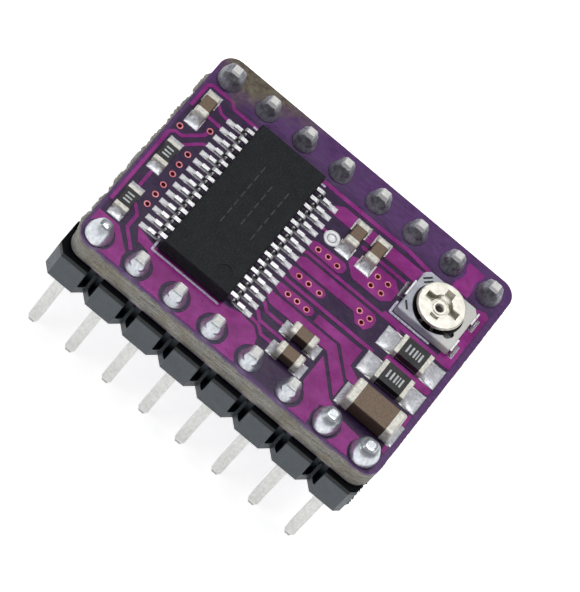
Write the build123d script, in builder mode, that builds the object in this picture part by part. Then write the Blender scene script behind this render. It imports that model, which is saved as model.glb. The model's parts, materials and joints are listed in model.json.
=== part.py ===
"""A plug-in stepper driver module, in millimetres.

A small circuit board carries a 28-lead driver chip, an open trimmer that sets the motor current, two
current-sense resistors, two small resistors and six capacitors. Two eight-way pin headers hang under
its long edges.

The origin is the centre of the two-row pin pattern, on the seating plane under the header plastics.
+X runs along the pin rows, +Y from the front row to the rear row, and +Z points up, away from the pins.
"""

from build123d import *

import os
from math import atan2, degrees, pi, tan

# ---- driving dimensions: board and headers ------------------------------------------------------

PITCH = 2.54
PINS_PER_ROW = 8
ROW_GAP = 12.7
PIN_SIZE = 0.64
PIN_BELOW_SEAT = 6.6
PIN_ABOVE_BOARD = 1.2
PIN_TIP_LENGTH = 0.7
PIN_TIP_INSET = 0.17
PIN_TOP_LENGTH = 0.3
PIN_TOP_INSET = 0.11

BOARD_LENGTH = 20.0
BOARD_WIDTH = 15.0
BOARD_CENTRE = (0.09, 0.24)
BOARD_CORNER = 0.95
LAMINATE = 1.5
COPPER = 0.035
MASK_ON_LAMINATE = 0.025
MASK_ON_COPPER = 0.015
MASK_WRAP = 0.03
MASK_GAP = 0.02
POUR_INSET = 0.4
SILK_THICKNESS = 0.02

HEADER_SIZE = 2.54
# Where each header ends along X. The strips are snapped from longer ones, and two ends broke off short.
HEADER_ENDS = {"front": (-10.16, 9.98), "rear": (-9.86, 10.16)}
HEADER_CHAMFER = 0.47
HEADER_NECK = 1.54
POCKET_WIDTH = 0.34
POCKET_FROM_JOIN = 0.26
POCKET_DEPTH = 0.8
POCKET_FLOOR = 0.66

HOLE_RADIUS = 0.5
PLATING = 0.035
HOLE_RING = 0.68
HOLE_CLEARANCE = 0.93
VIA_RADIUS = 0.12
VIA_WALL = 0.03
VIA_RING = 0.19
TEST_POINT = (0.58, 2.75)
TEST_POINT_HOLE = 0.24
TEST_POINT_RING = 0.48

SOLDER_FILM = 0.03
SOLDER_TOE = 0.03

# ---- heights and pin positions worked out from them ---------------------------------------------

BOARD_BOTTOM = HEADER_SIZE
LAMINATE_BOTTOM = BOARD_BOTTOM + COPPER + MASK_ON_COPPER
LAMINATE_TOP = LAMINATE_BOTTOM + LAMINATE
BOTTOM_PAD = LAMINATE_BOTTOM - COPPER
PAD_TOP = LAMINATE_TOP + COPPER
BOARD_TOP = PAD_TOP + MASK_ON_COPPER
SEATED = PAD_TOP + SOLDER_FILM
PIN_TOP = BOARD_TOP + PIN_ABOVE_BOARD

FRONT_ROW = -ROW_GAP / 2
REAR_ROW = ROW_GAP / 2
PIN_X = [(i - (PINS_PER_ROW - 1) / 2) * PITCH for i in range(PINS_PER_ROW)]
ALL_PINS = [(x, row) for row in (FRONT_ROW, REAR_ROW) for x in PIN_X]

# ---- driving dimensions: components -------------------------------------------------------------

CHIP = (-3.88, 0.0)
CHIP_LENGTH = 9.7
CHIP_WIDTH = 4.4
CHIP_BOTTOM = BOARD_TOP + 0.09
CHIP_TOP = BOARD_TOP + 1.1
CHIP_DRAFT = 7
CHIP_EDGE = 0.05
LEADS_PER_SIDE = 14
LEAD_PITCH = 0.65
LEAD_WIDTH = 0.23
LEAD_THICKNESS = 0.15
LEAD_MIDDLE = BOARD_TOP + 0.5
LEAD_INNER = 1.95
LEAD_SHOULDER = 2.64
LEAD_TOE = 3.24
LEAD_BEND_RUN = 0.1
LEAD_BEND = 0.09
LEAD_SOLDER_CLIMB = 0.13
LEAD_SOLDER_HEEL = 0.08
LEAD_PAD_INNER = 2.5
LEAD_PAD_OUTER = 3.75
LEAD_PAD_WIDTH = 0.34
LEAD_Y = [(i - (LEADS_PER_SIDE - 1) / 2) * LEAD_PITCH for i in range(LEADS_PER_SIDE)]
PIN_ONE_MARK = (CHIP[0] + 1.23, CHIP[1] - 3.85)
PIN_ONE_MARK_RADIUS = 0.42
PIN_ONE_MARK_DEPTH = 0.05
PADDLE_SIZE = (3.1, 5.2)
PADDLE_THICKNESS = 0.15
DIE_SIZE = (2.5, 3.9)
DIE_THICKNESS = 0.2
DIE_ATTACH = 0.03
WIRE = 0.03
WIRE_LOOP = 0.13
WIRE_START = 1.1
WIRE_FAN = 0.42
WIRE_OVERLAP = 0.12

TRIMMER = (7.27, 3.21)
TRIMMER_BASE = (3.6, 3.08)
TRIMMER_BASE_TOP = BOARD_TOP + 0.62
TRIMMER_FLOOR = BOARD_TOP + 0.3
TRIMMER_RECESS = 1.49
TRIMMER_CHAMFER = 0.3
TRIMMER_ROUND = 0.1
TRIMMER_POCKET = (1.22, -0.82)
TRIMMER_POCKET_SIZE = (0.66, 0.46)
TRIMMER_POCKET_TURN = 60
TRIMMER_MARKS = [(-1.46, 1.1, 48), (-1.3, 0.93, 48), (-1.47, -1.08, -50)]
TRIMMER_MARK_SIZE = (0.56, 0.12)
TRIMMER_MARK_DEPTH = 0.04
TERMINAL_THICKNESS = 0.1
TERMINAL_HEIGHT = 0.54
TERMINAL_FOOT = 0.3
TERMINAL_SOLDER_CLIMB = 0.34
TERMINAL_SOLDER_REACH = 0.24
TERMINAL_STRIP_END = 0.5
TRACK_LUG_END = 0.85
TRACK_TERMINAL_Y = 1.05
TRACK_TERMINAL_WIDTH = 0.85
WIPER_TERMINAL_WIDTH = 1.1
TRIMMER_PAD = 0.7
TRACK_INNER = 0.92
TRACK_OUTER = 1.44
TRACK_THICKNESS = 0.02
EYELET_BORE = 0.21
EYELET_BARREL = 0.3
EYELET_FLANGE = 0.6
EYELET_FOOT = 0.46
EYELET_TOP = BOARD_TOP + 0.78
ROTOR_RADIUS = 1.39
ROTOR_LIP = 0.1
ROTOR_LIP_DROP = 0.2
ROTOR_ROUND = 0.08
ROTOR_DRUM = 1.12
ROTOR_WALL = 0.08
ROTOR_TOP = BOARD_TOP + 1.15
ROTOR_PLATE = 0.12
ROTOR_BOTTOM = BOARD_TOP + 0.54
ROTOR_WEB = 0.07
ROTOR_BORE = 0.36
ROTOR_OPENING = 0.62
ROTOR_SLOT_WIDTH = 0.5
ROTOR_SLOT_REACH = 1.03
WIPER_RING = 0.75
WIPER_CONTACT = 1.15
WIPER_THICKNESS = 0.05
WIPER_FINGER = 0.18
WIPER_TURNS = (-108, -72)
RUNNING_GAP = 0.015

# Each chip component: centre x and y, turn about Z in degrees, length, width, height, end cap length, the
# distance from the centre to the outer end of its pads, and pad width. A turn of 0 lays the length along X.
RESISTORS = {
    "sense_resistor_a": (7.73, 0.15, 0, 2.0, 1.25, 0.52, 0.27, 1.95, 1.4),
    "sense_resistor_b": (7.73, -1.83, 0, 2.0, 1.25, 0.52, 0.27, 1.95, 1.4),
    "upper_resistor": (-8.93, 0.0, 90, 1.6, 0.8, 0.45, 0.27, 1.25, 0.85),
    "lower_resistor": (-8.93, -3.73, 90, 1.6, 0.8, 0.45, 0.27, 1.25, 0.85),
}
CAPACITORS = {
    "bulk_capacitor": (7.86, -4.22, 0, 3.2, 1.6, 1.12, 0.5, 1.92, 1.5),
    "charge_pump_capacitor": (2.66, -3.42, 0, 1.6, 0.8, 0.75, 0.38, 1.2, 0.92),
    "flying_capacitor": (2.72, -4.87, 0, 1.6, 0.8, 0.75, 0.38, 1.17, 0.92),
    "motor_supply_capacitor": (1.49, 3.57, 90, 1.6, 0.8, 0.75, 0.38, 1.28, 0.95),
    "reference_capacitor": (2.87, 3.57, 90, 1.6, 0.8, 0.75, 0.38, 1.28, 0.95),
    "regulator_capacitor": (-8.95, 3.75, 90, 1.6, 0.8, 0.75, 0.38, 1.32, 0.9),
}
CHIP_PARTS = RESISTORS | CAPACITORS
CAP_WALL = 0.03
CAP_ROUND = 0.14
CERAMIC_ROUND = 0.09
RESISTOR_ROUND = 0.05
FILM_INSET = 0.12
FILM_THICKNESS = 0.015
OVERCOAT_THICKNESS = 0.05
OVERCOAT_WALL = 0.015
OVERCOAT_ROUND = 0.02
OVERCOAT_SKIRT = 0.08
PLATE_COUNT = 10
PLATE_THICKNESS = 0.02
PLATE_INSET = 0.2

# Solder on the pins: radius on the board, height, and how full the shape is, from 0, a hollow-sided cone,
# to 1, a dome.
FRONT_JOINTS = [
    (0.84, 1.3, 1.0), (0.7, 0.98, 0.72), (0.7, 0.96, 0.66), (0.72, 1.0, 0.7),
    (0.69, 0.95, 0.64), (0.72, 1.02, 0.75), (0.78, 1.14, 0.96), (0.8, 1.12, 1.0),
]
REAR_JOINTS = [
    (0.72, 0.98, 0.55), (0.71, 0.92, 0.4), (0.72, 0.88, 0.45), (0.7, 0.94, 0.36),
    (0.71, 0.88, 0.5), (0.72, 0.94, 0.42), (0.7, 0.9, 0.46), (0.72, 0.92, 0.4),
]

# ---- driving dimensions: board pattern ----------------------------------------------------------

VIAS = [
    (-7.95, 3.0), (-9.35, 2.05), (-8.05, 0.97), (-8.05, 0.14),
    (-8.0, -0.57), (-8.0, -1.45), (-8.0, -2.22), (-8.0, -3.0),
    (3.73, 2.75), (4.4, 2.78), (3.72, 2.05), (4.4, 2.07),
    (0.4, 1.65), (1.05, 1.7), (1.7, 1.62),
    (4.1, 0.37), (4.77, 0.38), (4.55, -0.13),
    (0.5, -0.4), (1.15, -0.4), (1.88, -0.41),
    (0.65, -1.71), (1.25, -1.69), (1.9, -1.71),
]
THERMAL_VIAS = [(CHIP[0] + x, CHIP[1] + y) for x in (-0.9, 0, 0.9) for y in (-1.8, -0.6, 0.6, 1.8)]
ALL_VIAS = VIAS + THERMAL_VIAS

# Tracks on the top face: width, then the points of the centreline.
TRACKS = [
    (0.15, [(-9.62, -4.1), (-9.62, 1.35), (-9.35, 1.62), (-8.95, 1.62), (-8.05, 2.55), (-7.95, 3.0)]),
    (0.15, [(-9.62, 3.6), (-9.62, 5.15), (-9.42, 5.35), (-8.05, 5.35), (-7.7, 5.04), (-6.1, 5.04)]),
    (0.13, [(-8.6, 1.2), (-7.85, 2.05), (-7.4, 2.27)]),
    (0.13, [(-8.6, 4.7), (-8.1, 4.3), (-7.4, 4.22)]),
    (0.15, [(-8.6, 3.62), (-7.4, 3.58)]),
    (0.13, [(-8.93, -1.1), (-8.93, -2.6)]),
    (0.15, [(-8.6, -3.4), (-8.35, -3.6), (-8.02, -3.95), (-8.02, -4.9), (-7.0, -5.95)]),
    (0.2, [(-1.6, 5.2), (2.3, 5.2), (4.1, 5.27), (5.6, 5.1)]),
    (0.17, [(2.15, 3.57), (5.4, 3.57)]),
    (0.15, [(-0.3, 0.98), (0.2, 1.07), (6.15, 1.07), (6.45, 0.85)]),
    (0.17, [(-0.3, -1.0), (0.1, -1.07), (5.9, -1.07)]),
    (0.15, [(-0.3, -2.95), (0.0, -3.05), (0.35, -3.4), (1.6, -3.4)]),
    (0.15, [(-0.3, -3.6), (0.0, -3.72), (0.35, -4.1), (1.9, -4.1)]),
    (0.15, [(-0.3, -4.25), (0.45, -4.35), (0.85, -4.7), (1.6, -4.7)]),
    (0.15, [(-0.3, 2.9), (0.15, 2.85)]),
    (0.25, [(5.25, 1.25), (9.56, 1.2)]),
    (0.15, [(9.6, -2.7), (9.6, -5.4)]),
    (0.45, [(6.9, -0.83), (9.45, -0.83)]),
]
# Copper areas on the top face: the corners of each outline.
AREAS = [
    [(-0.45, 3.98), (-0.45, 4.4), (0.1, 4.78), (5.75, 4.78), (5.75, 3.98)],
    [
        (2.05, 2.25), (2.7, 1.66), (4.6, 1.66), (5.05, 2.1),
        (5.05, 2.85), (4.6, 3.25), (3.2, 3.25), (2.05, 2.7),
    ],
    [
        (-0.3, 1.5), (0.15, 1.33), (1.95, 1.3), (2.15, 1.5),
        (2.15, 1.85), (1.95, 2.03), (0.15, 1.97), (-0.3, 1.75),
    ],
    [
        (-0.3, 0.2), (0.2, 0.12), (3.85, 0.12), (4.3, -0.4), (4.85, -0.38),
        (5.1, 0.0), (5.1, 0.5), (4.85, 0.76), (0.2, 0.76), (-0.3, 0.45),
    ],
    [
        (-0.3, -0.45), (0.15, -0.7), (1.95, -0.7), (2.18, -0.52),
        (2.18, -0.25), (1.95, -0.1), (0.15, -0.12), (-0.3, -0.2),
    ],
    [
        (-0.3, -1.75), (0.3, -2.0), (2.1, -2.0), (2.3, -1.8),
        (2.3, -1.58), (2.1, -1.42), (0.3, -1.42), (-0.3, -1.5),
    ],
    [
        (2.6, -1.48), (5.48, -1.48), (5.48, -2.65), (6.3, -3.05),
        (6.3, -3.45), (5.78, -3.4), (4.42, -2.0), (2.6, -2.0),
    ],
    [
        (-0.4, -2.15), (0.1, -2.22), (4.25, -2.22), (5.8, -3.75),
        (5.8, -4.75), (4.1, -2.86), (0.2, -2.86), (-0.4, -2.4),
    ],
    [
        (4.12, -3.3), (5.7, -5.05), (6.3, -5.3), (5.5, -5.7),
        (5.5, -7.1), (4.4, -7.1), (4.4, -5.6), (4.12, -5.2),
    ],
    [(7.0, -5.6), (8.2, -5.7), (8.2, -7.05), (7.0, -7.1)],
    [
        (-7.55, -4.45), (-6.4, -4.75), (-1.4, -4.75), (-0.6, -4.5), (0.35, -4.65),
        (0.8, -5.05), (0.95, -5.6), (0.6, -7.1), (-5.6, -7.1), (-6.35, -5.2), (-7.1, -5.15),
    ],
    [(-9.7, -5.15), (-8.4, -5.15), (-7.25, -6.2), (-7.05, -7.1), (-8.6, -7.1), (-9.7, -6.2)],
    [(7.1, 5.35), (8.1, 5.35), (8.1, 7.15), (7.1, 7.15)],
    [(8.8, 1.3), (9.66, 1.25), (9.66, 5.2), (9.4, 5.35), (8.8, 5.1)],
]
SILK_LINES = [
    (0.13, [(-6.3, -4.25), (-6.3, -4.97), (-1.88, -4.97)]),
    (0.13, [(-6.3, 4.97), (-1.46, 4.97)]),
    (0.14, [(5.36, 2.3), (5.36, 1.54), (7.95, 1.54)]),
]

os.makedirs("parts", exist_ok=True)


def save(builder, name):
    """Labels a finished piece and writes it under that name."""
    builder.part.label = name
    export_step(builder.part, f"parts/{name}.step")


# ---- drawing helpers: each draws into the sketch that is open -----------------------------------


def draw_circles(centres, radius, mode=Mode.ADD):
    """Circles of one size at several centres."""
    with Locations(*centres):
        Circle(radius, mode=mode)


def draw_box(low, high):
    """A rectangle between two opposite corners."""
    with Locations(((low[0] + high[0]) / 2, (low[1] + high[1]) / 2)):
        Rectangle(high[0] - low[0], high[1] - low[1])


def draw_track(width, points):
    """A track of one width with round ends and corners."""
    for start, end in zip(points[:-1], points[1:]):
        run = Vector(*end) - Vector(*start)
        middle = (Vector(*start) + Vector(*end)) / 2
        with Locations(Location(middle, (0, 0, degrees(atan2(run.Y, run.X))))):
            SlotCenterToCenter(run.length, width)


def draw_copper_under_mask(grow=0.0):
    """The tracks and areas of the top face, grown by the coat that wraps them."""
    for corners in AREAS:
        Polygon(*corners, align=None)
        if grow:
            draw_track(2 * grow, [*corners, corners[0]])
    for width, points in TRACKS:
        draw_track(width + 2 * grow, points)
    draw_circles(ALL_PINS, HOLE_CLEARANCE - grow, Mode.SUBTRACT)


def component_pads():
    """Centre, length and width of every pad on the top face."""
    pads = [(*CHIP, *PADDLE_SIZE)]
    for x, y, turn, length, width, height, cap, pad_end, pad_width in CHIP_PARTS.values():
        pad_start = length / 2 - cap - MASK_GAP
        offset_out = (pad_start + pad_end) / 2
        for side in (-1, 1):
            if turn:
                pads.append((x, y + side * offset_out, pad_width, pad_end - pad_start))
            else:
                pads.append((x + side * offset_out, y, pad_end - pad_start, pad_width))
    lead_pad = (LEAD_PAD_OUTER - LEAD_PAD_INNER, LEAD_PAD_WIDTH)
    lead_pad_x = (LEAD_PAD_INNER + LEAD_PAD_OUTER) / 2
    edge = TRIMMER_BASE[0] / 2
    for side in (-1, 1):
        for y in LEAD_Y:
            pads.append((CHIP[0] + side * lead_pad_x, CHIP[1] + y, *lead_pad))
        track_terminal = (TRIMMER[0] + edge, TRIMMER[1] + side * TRACK_TERMINAL_Y)
        pads.append((*track_terminal, TRIMMER_PAD, TRACK_TERMINAL_WIDTH))
    pads.append((TRIMMER[0] - edge, TRIMMER[1], TRIMMER_PAD, WIPER_TERMINAL_WIDTH))
    return pads


def draw_pads(grow=0.0):
    """Every pad that a component is soldered to, grown by a margin."""
    for x, y, length, width in component_pads():
        with Locations((x, y)):
            Rectangle(length + 2 * grow, width + 2 * grow)


def draw_board(inset=0.0):
    """The board's outline with its round corners."""
    with Locations(BOARD_CENTRE):
        RectangleRounded(BOARD_LENGTH - 2 * inset, BOARD_WIDTH - 2 * inset, BOARD_CORNER - inset)


def hollow_arc(toe, top):
    """The hollow surface of a solder fillet, from its toe on the board up to the top of its climb."""
    chord = Vector(*top) - Vector(*toe)
    slope = atan2(chord.Y, -chord.X)
    sagitta = chord.length / 2 * tan(0.4 * min(slope, pi / 2 - slope))
    towards_corner = Vector(-chord.Y, chord.X).normalized()
    middle = (Vector(*toe) + Vector(*top)) / 2 + towards_corner * sagitta
    ThreePointArc(toe, middle, top)


# ---- the bare board -----------------------------------------------------------------------------

with BuildPart() as board_laminate:
    with BuildSketch(Plane.XY.offset(LAMINATE_BOTTOM)):
        draw_board()
        draw_circles(ALL_PINS, HOLE_RADIUS + PLATING, Mode.SUBTRACT)
        draw_circles(ALL_VIAS, VIA_RADIUS + VIA_WALL, Mode.SUBTRACT)
        draw_circles([TEST_POINT], TEST_POINT_HOLE + PLATING, Mode.SUBTRACT)
    extrude(amount=LAMINATE)
save(board_laminate, "board_laminate")

with BuildPart() as top_copper:
    with BuildSketch(Plane.XY.offset(LAMINATE_TOP)):
        draw_copper_under_mask()
        draw_pads()
        draw_circles(ALL_VIAS, VIA_RING, Mode.SUBTRACT)
        draw_circles([TEST_POINT], TEST_POINT_RING, Mode.SUBTRACT)
    extrude(amount=COPPER)
save(top_copper, "top_copper")

with BuildPart() as bottom_copper:
    with BuildSketch(Plane.XY.offset(BOTTOM_PAD)):
        draw_board(inset=POUR_INSET)
        draw_circles(ALL_PINS, HOLE_CLEARANCE, Mode.SUBTRACT)
        draw_circles(ALL_VIAS, VIA_RING, Mode.SUBTRACT)
        draw_circles([TEST_POINT], TEST_POINT_RING, Mode.SUBTRACT)
    extrude(amount=COPPER)
save(bottom_copper, "bottom_copper")

with BuildPart() as top_solder_mask:
    with BuildSketch(Plane.XY.offset(LAMINATE_TOP)):
        draw_board()
    extrude(amount=MASK_ON_LAMINATE)
    with BuildSketch(Plane.XY.offset(LAMINATE_TOP)):
        draw_copper_under_mask(grow=MASK_WRAP)
    extrude(amount=COPPER + MASK_ON_COPPER)
    with BuildSketch(Plane.XY.offset(LAMINATE_TOP)):
        draw_pads(grow=MASK_GAP)
        draw_circles(ALL_PINS, HOLE_RING + MASK_GAP)
        draw_circles(ALL_VIAS, VIA_RING)
        draw_circles([TEST_POINT], TEST_POINT_RING + MASK_GAP)
    extrude(amount=2 * COPPER, mode=Mode.SUBTRACT)
    add(top_copper.part, mode=Mode.SUBTRACT)
save(top_solder_mask, "top_solder_mask")

with BuildPart() as bottom_solder_mask:
    with BuildSketch(Plane.XY.offset(BOARD_BOTTOM)):
        draw_board()
        draw_circles(ALL_PINS, HOLE_RING + MASK_GAP, Mode.SUBTRACT)
        draw_circles(ALL_VIAS, VIA_RING, Mode.SUBTRACT)
        draw_circles([TEST_POINT], TEST_POINT_RING, Mode.SUBTRACT)
    extrude(amount=LAMINATE_BOTTOM - BOARD_BOTTOM)
    add(bottom_copper.part, mode=Mode.SUBTRACT)
save(bottom_solder_mask, "bottom_solder_mask")


def plated_holes(centres, hole, wall, ring):
    """Copper barrels through the board, each with a ring on both faces."""
    with BuildPart() as barrels:
        with BuildSketch(Plane.XY.offset(BOTTOM_PAD)):
            draw_circles(centres, hole + wall)
        extrude(amount=PAD_TOP - BOTTOM_PAD)
        for face in (BOTTOM_PAD, LAMINATE_TOP):
            with BuildSketch(Plane.XY.offset(face)):
                draw_circles(centres, ring)
            extrude(amount=COPPER)
        with BuildSketch(Plane.XY.offset(BOTTOM_PAD)):
            draw_circles(centres, hole)
        extrude(amount=PAD_TOP - BOTTOM_PAD, mode=Mode.SUBTRACT)
    return barrels


save(plated_holes(ALL_PINS, HOLE_RADIUS, PLATING, HOLE_RING), "hole_plating")
save(plated_holes(ALL_VIAS, VIA_RADIUS, VIA_WALL, VIA_RING), "via_barrels")
save(plated_holes([TEST_POINT], TEST_POINT_HOLE, PLATING, TEST_POINT_RING), "test_point")

with BuildPart() as silkscreen:
    with BuildSketch(Plane.XY.offset(LAMINATE_TOP + MASK_ON_LAMINATE)):
        for line_width, line_points in SILK_LINES:
            draw_track(line_width, line_points)
    extrude(amount=BOARD_TOP + SILK_THICKNESS - LAMINATE_TOP - MASK_ON_LAMINATE)
    add(top_solder_mask.part, mode=Mode.SUBTRACT)
    add(top_copper.part, mode=Mode.SUBTRACT)
save(silkscreen, "silkscreen")

# ---- pin headers --------------------------------------------------------------------------------


def header_pins(row):
    """Eight square pins with tapered ends."""
    with BuildPart() as pins:
        with BuildSketch(Plane.XY.offset(-PIN_BELOW_SEAT)):
            with Locations(*[(x, row) for x in PIN_X]):
                Rectangle(PIN_SIZE, PIN_SIZE)
        extrude(amount=PIN_BELOW_SEAT + PIN_TOP)
        ends = pins.faces().filter_by(Axis.Z).group_by(Axis.Z)
        for face in ends[0]:
            chamfer(face.edges(), length=PIN_TIP_INSET, length2=PIN_TIP_LENGTH, reference=face)
        for face in ends[-1]:
            chamfer(face.edges(), length=PIN_TOP_INSET, length2=PIN_TOP_LENGTH, reference=face)
    return pins


def header_body(row, ends, pins):
    """Eight chamfered blocks joined by necks that snap apart, with slots beside each neck."""
    joins = [x + PITCH / 2 for x in PIN_X[:-1]]
    with BuildPart() as body:
        with BuildSketch():
            for x in PIN_X:
                with BuildLine():
                    reach = HEADER_SIZE / 2
                    flat = reach - HEADER_CHAMFER
                    Polyline(
                        (x - flat, row - reach), (x + flat, row - reach), (x + reach, row - flat),
                        (x + reach, row + flat), (x + flat, row + reach), (x - flat, row + reach),
                        (x - reach, row + flat), (x - reach, row - flat), close=True,
                    )
                make_face()
            with Locations((0, row)):
                Rectangle(PITCH * (PINS_PER_ROW - 1), HEADER_NECK)
        extrude(amount=HEADER_SIZE)
        with BuildSketch():
            draw_box((ends[0], row - HEADER_SIZE), (ends[1], row + HEADER_SIZE))
        extrude(amount=HEADER_SIZE, mode=Mode.INTERSECT)
        slot_top = HEADER_SIZE + POCKET_WIDTH
        for side in (-1, 1):
            with BuildSketch(Plane((0, row + side * HEADER_SIZE / 2, 0), x_dir=(1, 0, 0), z_dir=(0, -1, 0))):
                for x in joins:
                    for offset_x in (-POCKET_FROM_JOIN, POCKET_FROM_JOIN):
                        with Locations((x + offset_x, (POCKET_FLOOR + slot_top) / 2)):
                            SlotOverall(slot_top - POCKET_FLOOR, POCKET_WIDTH, rotation=90)
            extrude(amount=side * POCKET_DEPTH, mode=Mode.SUBTRACT)
        add(pins.part, mode=Mode.SUBTRACT)
    return body


def joint_profile(radius, height, fullness):
    """The outline of one solder joint, with its stem in the plated hole, in a plane through the pin."""
    rim = 0.4 * (1 - fullness) + 0.1
    top = PAD_TOP + height
    with BuildLine() as outline:
        Line((0, BOTTOM_PAD), (HOLE_RADIUS, BOTTOM_PAD))
        Line((HOLE_RADIUS, BOTTOM_PAD), (HOLE_RADIUS, PAD_TOP))
        Line((HOLE_RADIUS, PAD_TOP), (radius, PAD_TOP))
        Bezier(
            (radius, PAD_TOP),
            (radius * (0.62 + 0.42 * fullness), PAD_TOP + height * (0.2 + 0.38 * fullness)),
            (rim + 0.1 + radius * 0.5 * fullness, PAD_TOP + height * (0.55 + 0.45 * fullness)),
            (rim, top),
        )
        Line((rim, top), (0, top))
        Line((0, top), (0, BOTTOM_PAD))
    make_face(outline.edges())


def header_solder(row, joints, pins):
    """One solder joint round each pin, filling its plated hole."""
    with BuildPart() as solder:
        for x, (radius, height, fullness) in zip(PIN_X, joints):
            with BuildSketch(Plane((x, row, 0), x_dir=(1, 0, 0), z_dir=(0, -1, 0))):
                joint_profile(radius, height, fullness)
            revolve(axis=Axis((x, row, 0), (0, 0, 1)))
        add(pins.part, mode=Mode.SUBTRACT)
    return solder


for row_name, row_y, row_joints in (("front", FRONT_ROW, FRONT_JOINTS), ("rear", REAR_ROW, REAR_JOINTS)):
    row_pins = header_pins(row_y)
    save(row_pins, f"{row_name}_header_pins")
    save(header_body(row_y, HEADER_ENDS[row_name], row_pins), f"{row_name}_header_body")
    save(header_solder(row_y, row_joints, row_pins), f"{row_name}_header_solder")

# ---- driver chip --------------------------------------------------------------------------------

PADDLE_BOTTOM = CHIP_BOTTOM - 0.02
PADDLE_TOP = PADDLE_BOTTOM + PADDLE_THICKNESS
DIE_BOTTOM = PADDLE_TOP + DIE_ATTACH
DIE_TOP = DIE_BOTTOM + DIE_THICKNESS
FOOT_MIDDLE = SEATED + LEAD_THICKNESS / 2


def block(size, bottom, thickness):
    """A flat block centred under the chip."""
    with BuildPart() as flat:
        with BuildSketch(Plane.XY.offset(bottom)):
            with Locations(CHIP):
                Rectangle(*size)
        extrude(amount=thickness)
    return flat


driver_chip_paddle = block(PADDLE_SIZE, PADDLE_BOTTOM, PADDLE_THICKNESS)
save(driver_chip_paddle, "driver_chip_paddle")
driver_chip_die_attach = block(DIE_SIZE, PADDLE_TOP, DIE_ATTACH)
save(driver_chip_die_attach, "driver_chip_die_attach")
driver_chip_die = block(DIE_SIZE, DIE_BOTTOM, DIE_THICKNESS)
save(driver_chip_die, "driver_chip_die")

with BuildPart() as driver_chip_leads:
    for side in (-1, 1):
        for y in LEAD_Y:
            with BuildSketch(Plane((CHIP[0], CHIP[1] + y, 0), x_dir=(side, 0, 0), z_dir=(0, -side, 0))):
                with BuildLine():
                    FilletPolyline(
                        (LEAD_INNER, LEAD_MIDDLE), (LEAD_SHOULDER, LEAD_MIDDLE),
                        (LEAD_SHOULDER + LEAD_BEND_RUN, FOOT_MIDDLE), (LEAD_TOE, FOOT_MIDDLE),
                        radius=LEAD_BEND,
                    )
                trace(line_width=LEAD_THICKNESS)
            extrude(amount=LEAD_WIDTH / 2, both=True)
save(driver_chip_leads, "driver_chip_leads")

with BuildPart() as driver_chip_bond_wires:
    for side in (-1, 1):
        for y in LEAD_Y:
            start = Vector(CHIP[0] + side * WIRE_START, CHIP[1] + WIRE_FAN * y, 0)
            end = Vector(CHIP[0] + side * (LEAD_INNER + WIRE_OVERLAP), CHIP[1] + y, 0)
            span = (end - start).length
            along = (end - start).normalized()
            with BuildSketch(Plane(start, x_dir=along, z_dir=along.cross(Vector(0, 0, 1)))):
                with BuildLine():
                    Polyline(
                        (0, DIE_TOP), (0.04, DIE_TOP + WIRE_LOOP),
                        (0.5 * span, DIE_TOP + 1.3 * WIRE_LOOP), (span, LEAD_MIDDLE + LEAD_THICKNESS / 2),
                    )
                trace(line_width=WIRE)
            extrude(amount=WIRE / 2, both=True)
save(driver_chip_bond_wires, "driver_chip_bond_wires")

with BuildPart() as driver_chip_body:
    with BuildSketch(Plane.XY.offset(LEAD_MIDDLE)):
        with Locations(CHIP):
            Rectangle(CHIP_WIDTH, CHIP_LENGTH)
    extrude(amount=CHIP_TOP - LEAD_MIDDLE, taper=CHIP_DRAFT)
    with BuildSketch(Plane.XY.offset(LEAD_MIDDLE)):
        with Locations(CHIP):
            Rectangle(CHIP_WIDTH, CHIP_LENGTH)
    extrude(amount=CHIP_BOTTOM - LEAD_MIDDLE, taper=CHIP_DRAFT)
    fillet(driver_chip_body.edges().group_by(Axis.Z)[-1], CHIP_EDGE)
    with BuildSketch(Plane.XY.offset(CHIP_TOP - PIN_ONE_MARK_DEPTH)):
        draw_circles([PIN_ONE_MARK], PIN_ONE_MARK_RADIUS)
    extrude(amount=PIN_ONE_MARK_DEPTH, mode=Mode.SUBTRACT)
    for inner in (
        driver_chip_paddle, driver_chip_die_attach, driver_chip_die,
        driver_chip_leads, driver_chip_bond_wires,
    ):
        add(inner.part, mode=Mode.SUBTRACT)
save(driver_chip_body, "driver_chip_body")

LEAD_TOE_TOP = (LEAD_TOE, SEATED + LEAD_SOLDER_CLIMB)
LEAD_PAD_TIP = (LEAD_PAD_OUTER - SOLDER_TOE, PAD_TOP)

with BuildPart() as driver_chip_solder:
    for side in (-1, 1):
        for y in LEAD_Y:
            with BuildSketch(Plane((CHIP[0], CHIP[1] + y, 0), x_dir=(side, 0, 0), z_dir=(0, -side, 0))):
                with BuildLine():
                    Polyline(
                        LEAD_TOE_TOP, (LEAD_TOE, SEATED), (LEAD_PAD_INNER + LEAD_SOLDER_HEEL, SEATED),
                        (LEAD_PAD_INNER + SOLDER_TOE, PAD_TOP), LEAD_PAD_TIP,
                    )
                    hollow_arc(LEAD_PAD_TIP, LEAD_TOE_TOP)
                make_face()
            extrude(amount=LEAD_PAD_WIDTH / 2 - SOLDER_TOE, both=True)
    with BuildSketch(Plane.XY.offset(PAD_TOP)):
        with Locations(CHIP):
            Rectangle(*PADDLE_SIZE)
        draw_circles(THERMAL_VIAS, VIA_RING, Mode.SUBTRACT)
    extrude(amount=PADDLE_BOTTOM - PAD_TOP)
save(driver_chip_solder, "driver_chip_solder")

# ---- trimmer ------------------------------------------------------------------------------------

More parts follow.
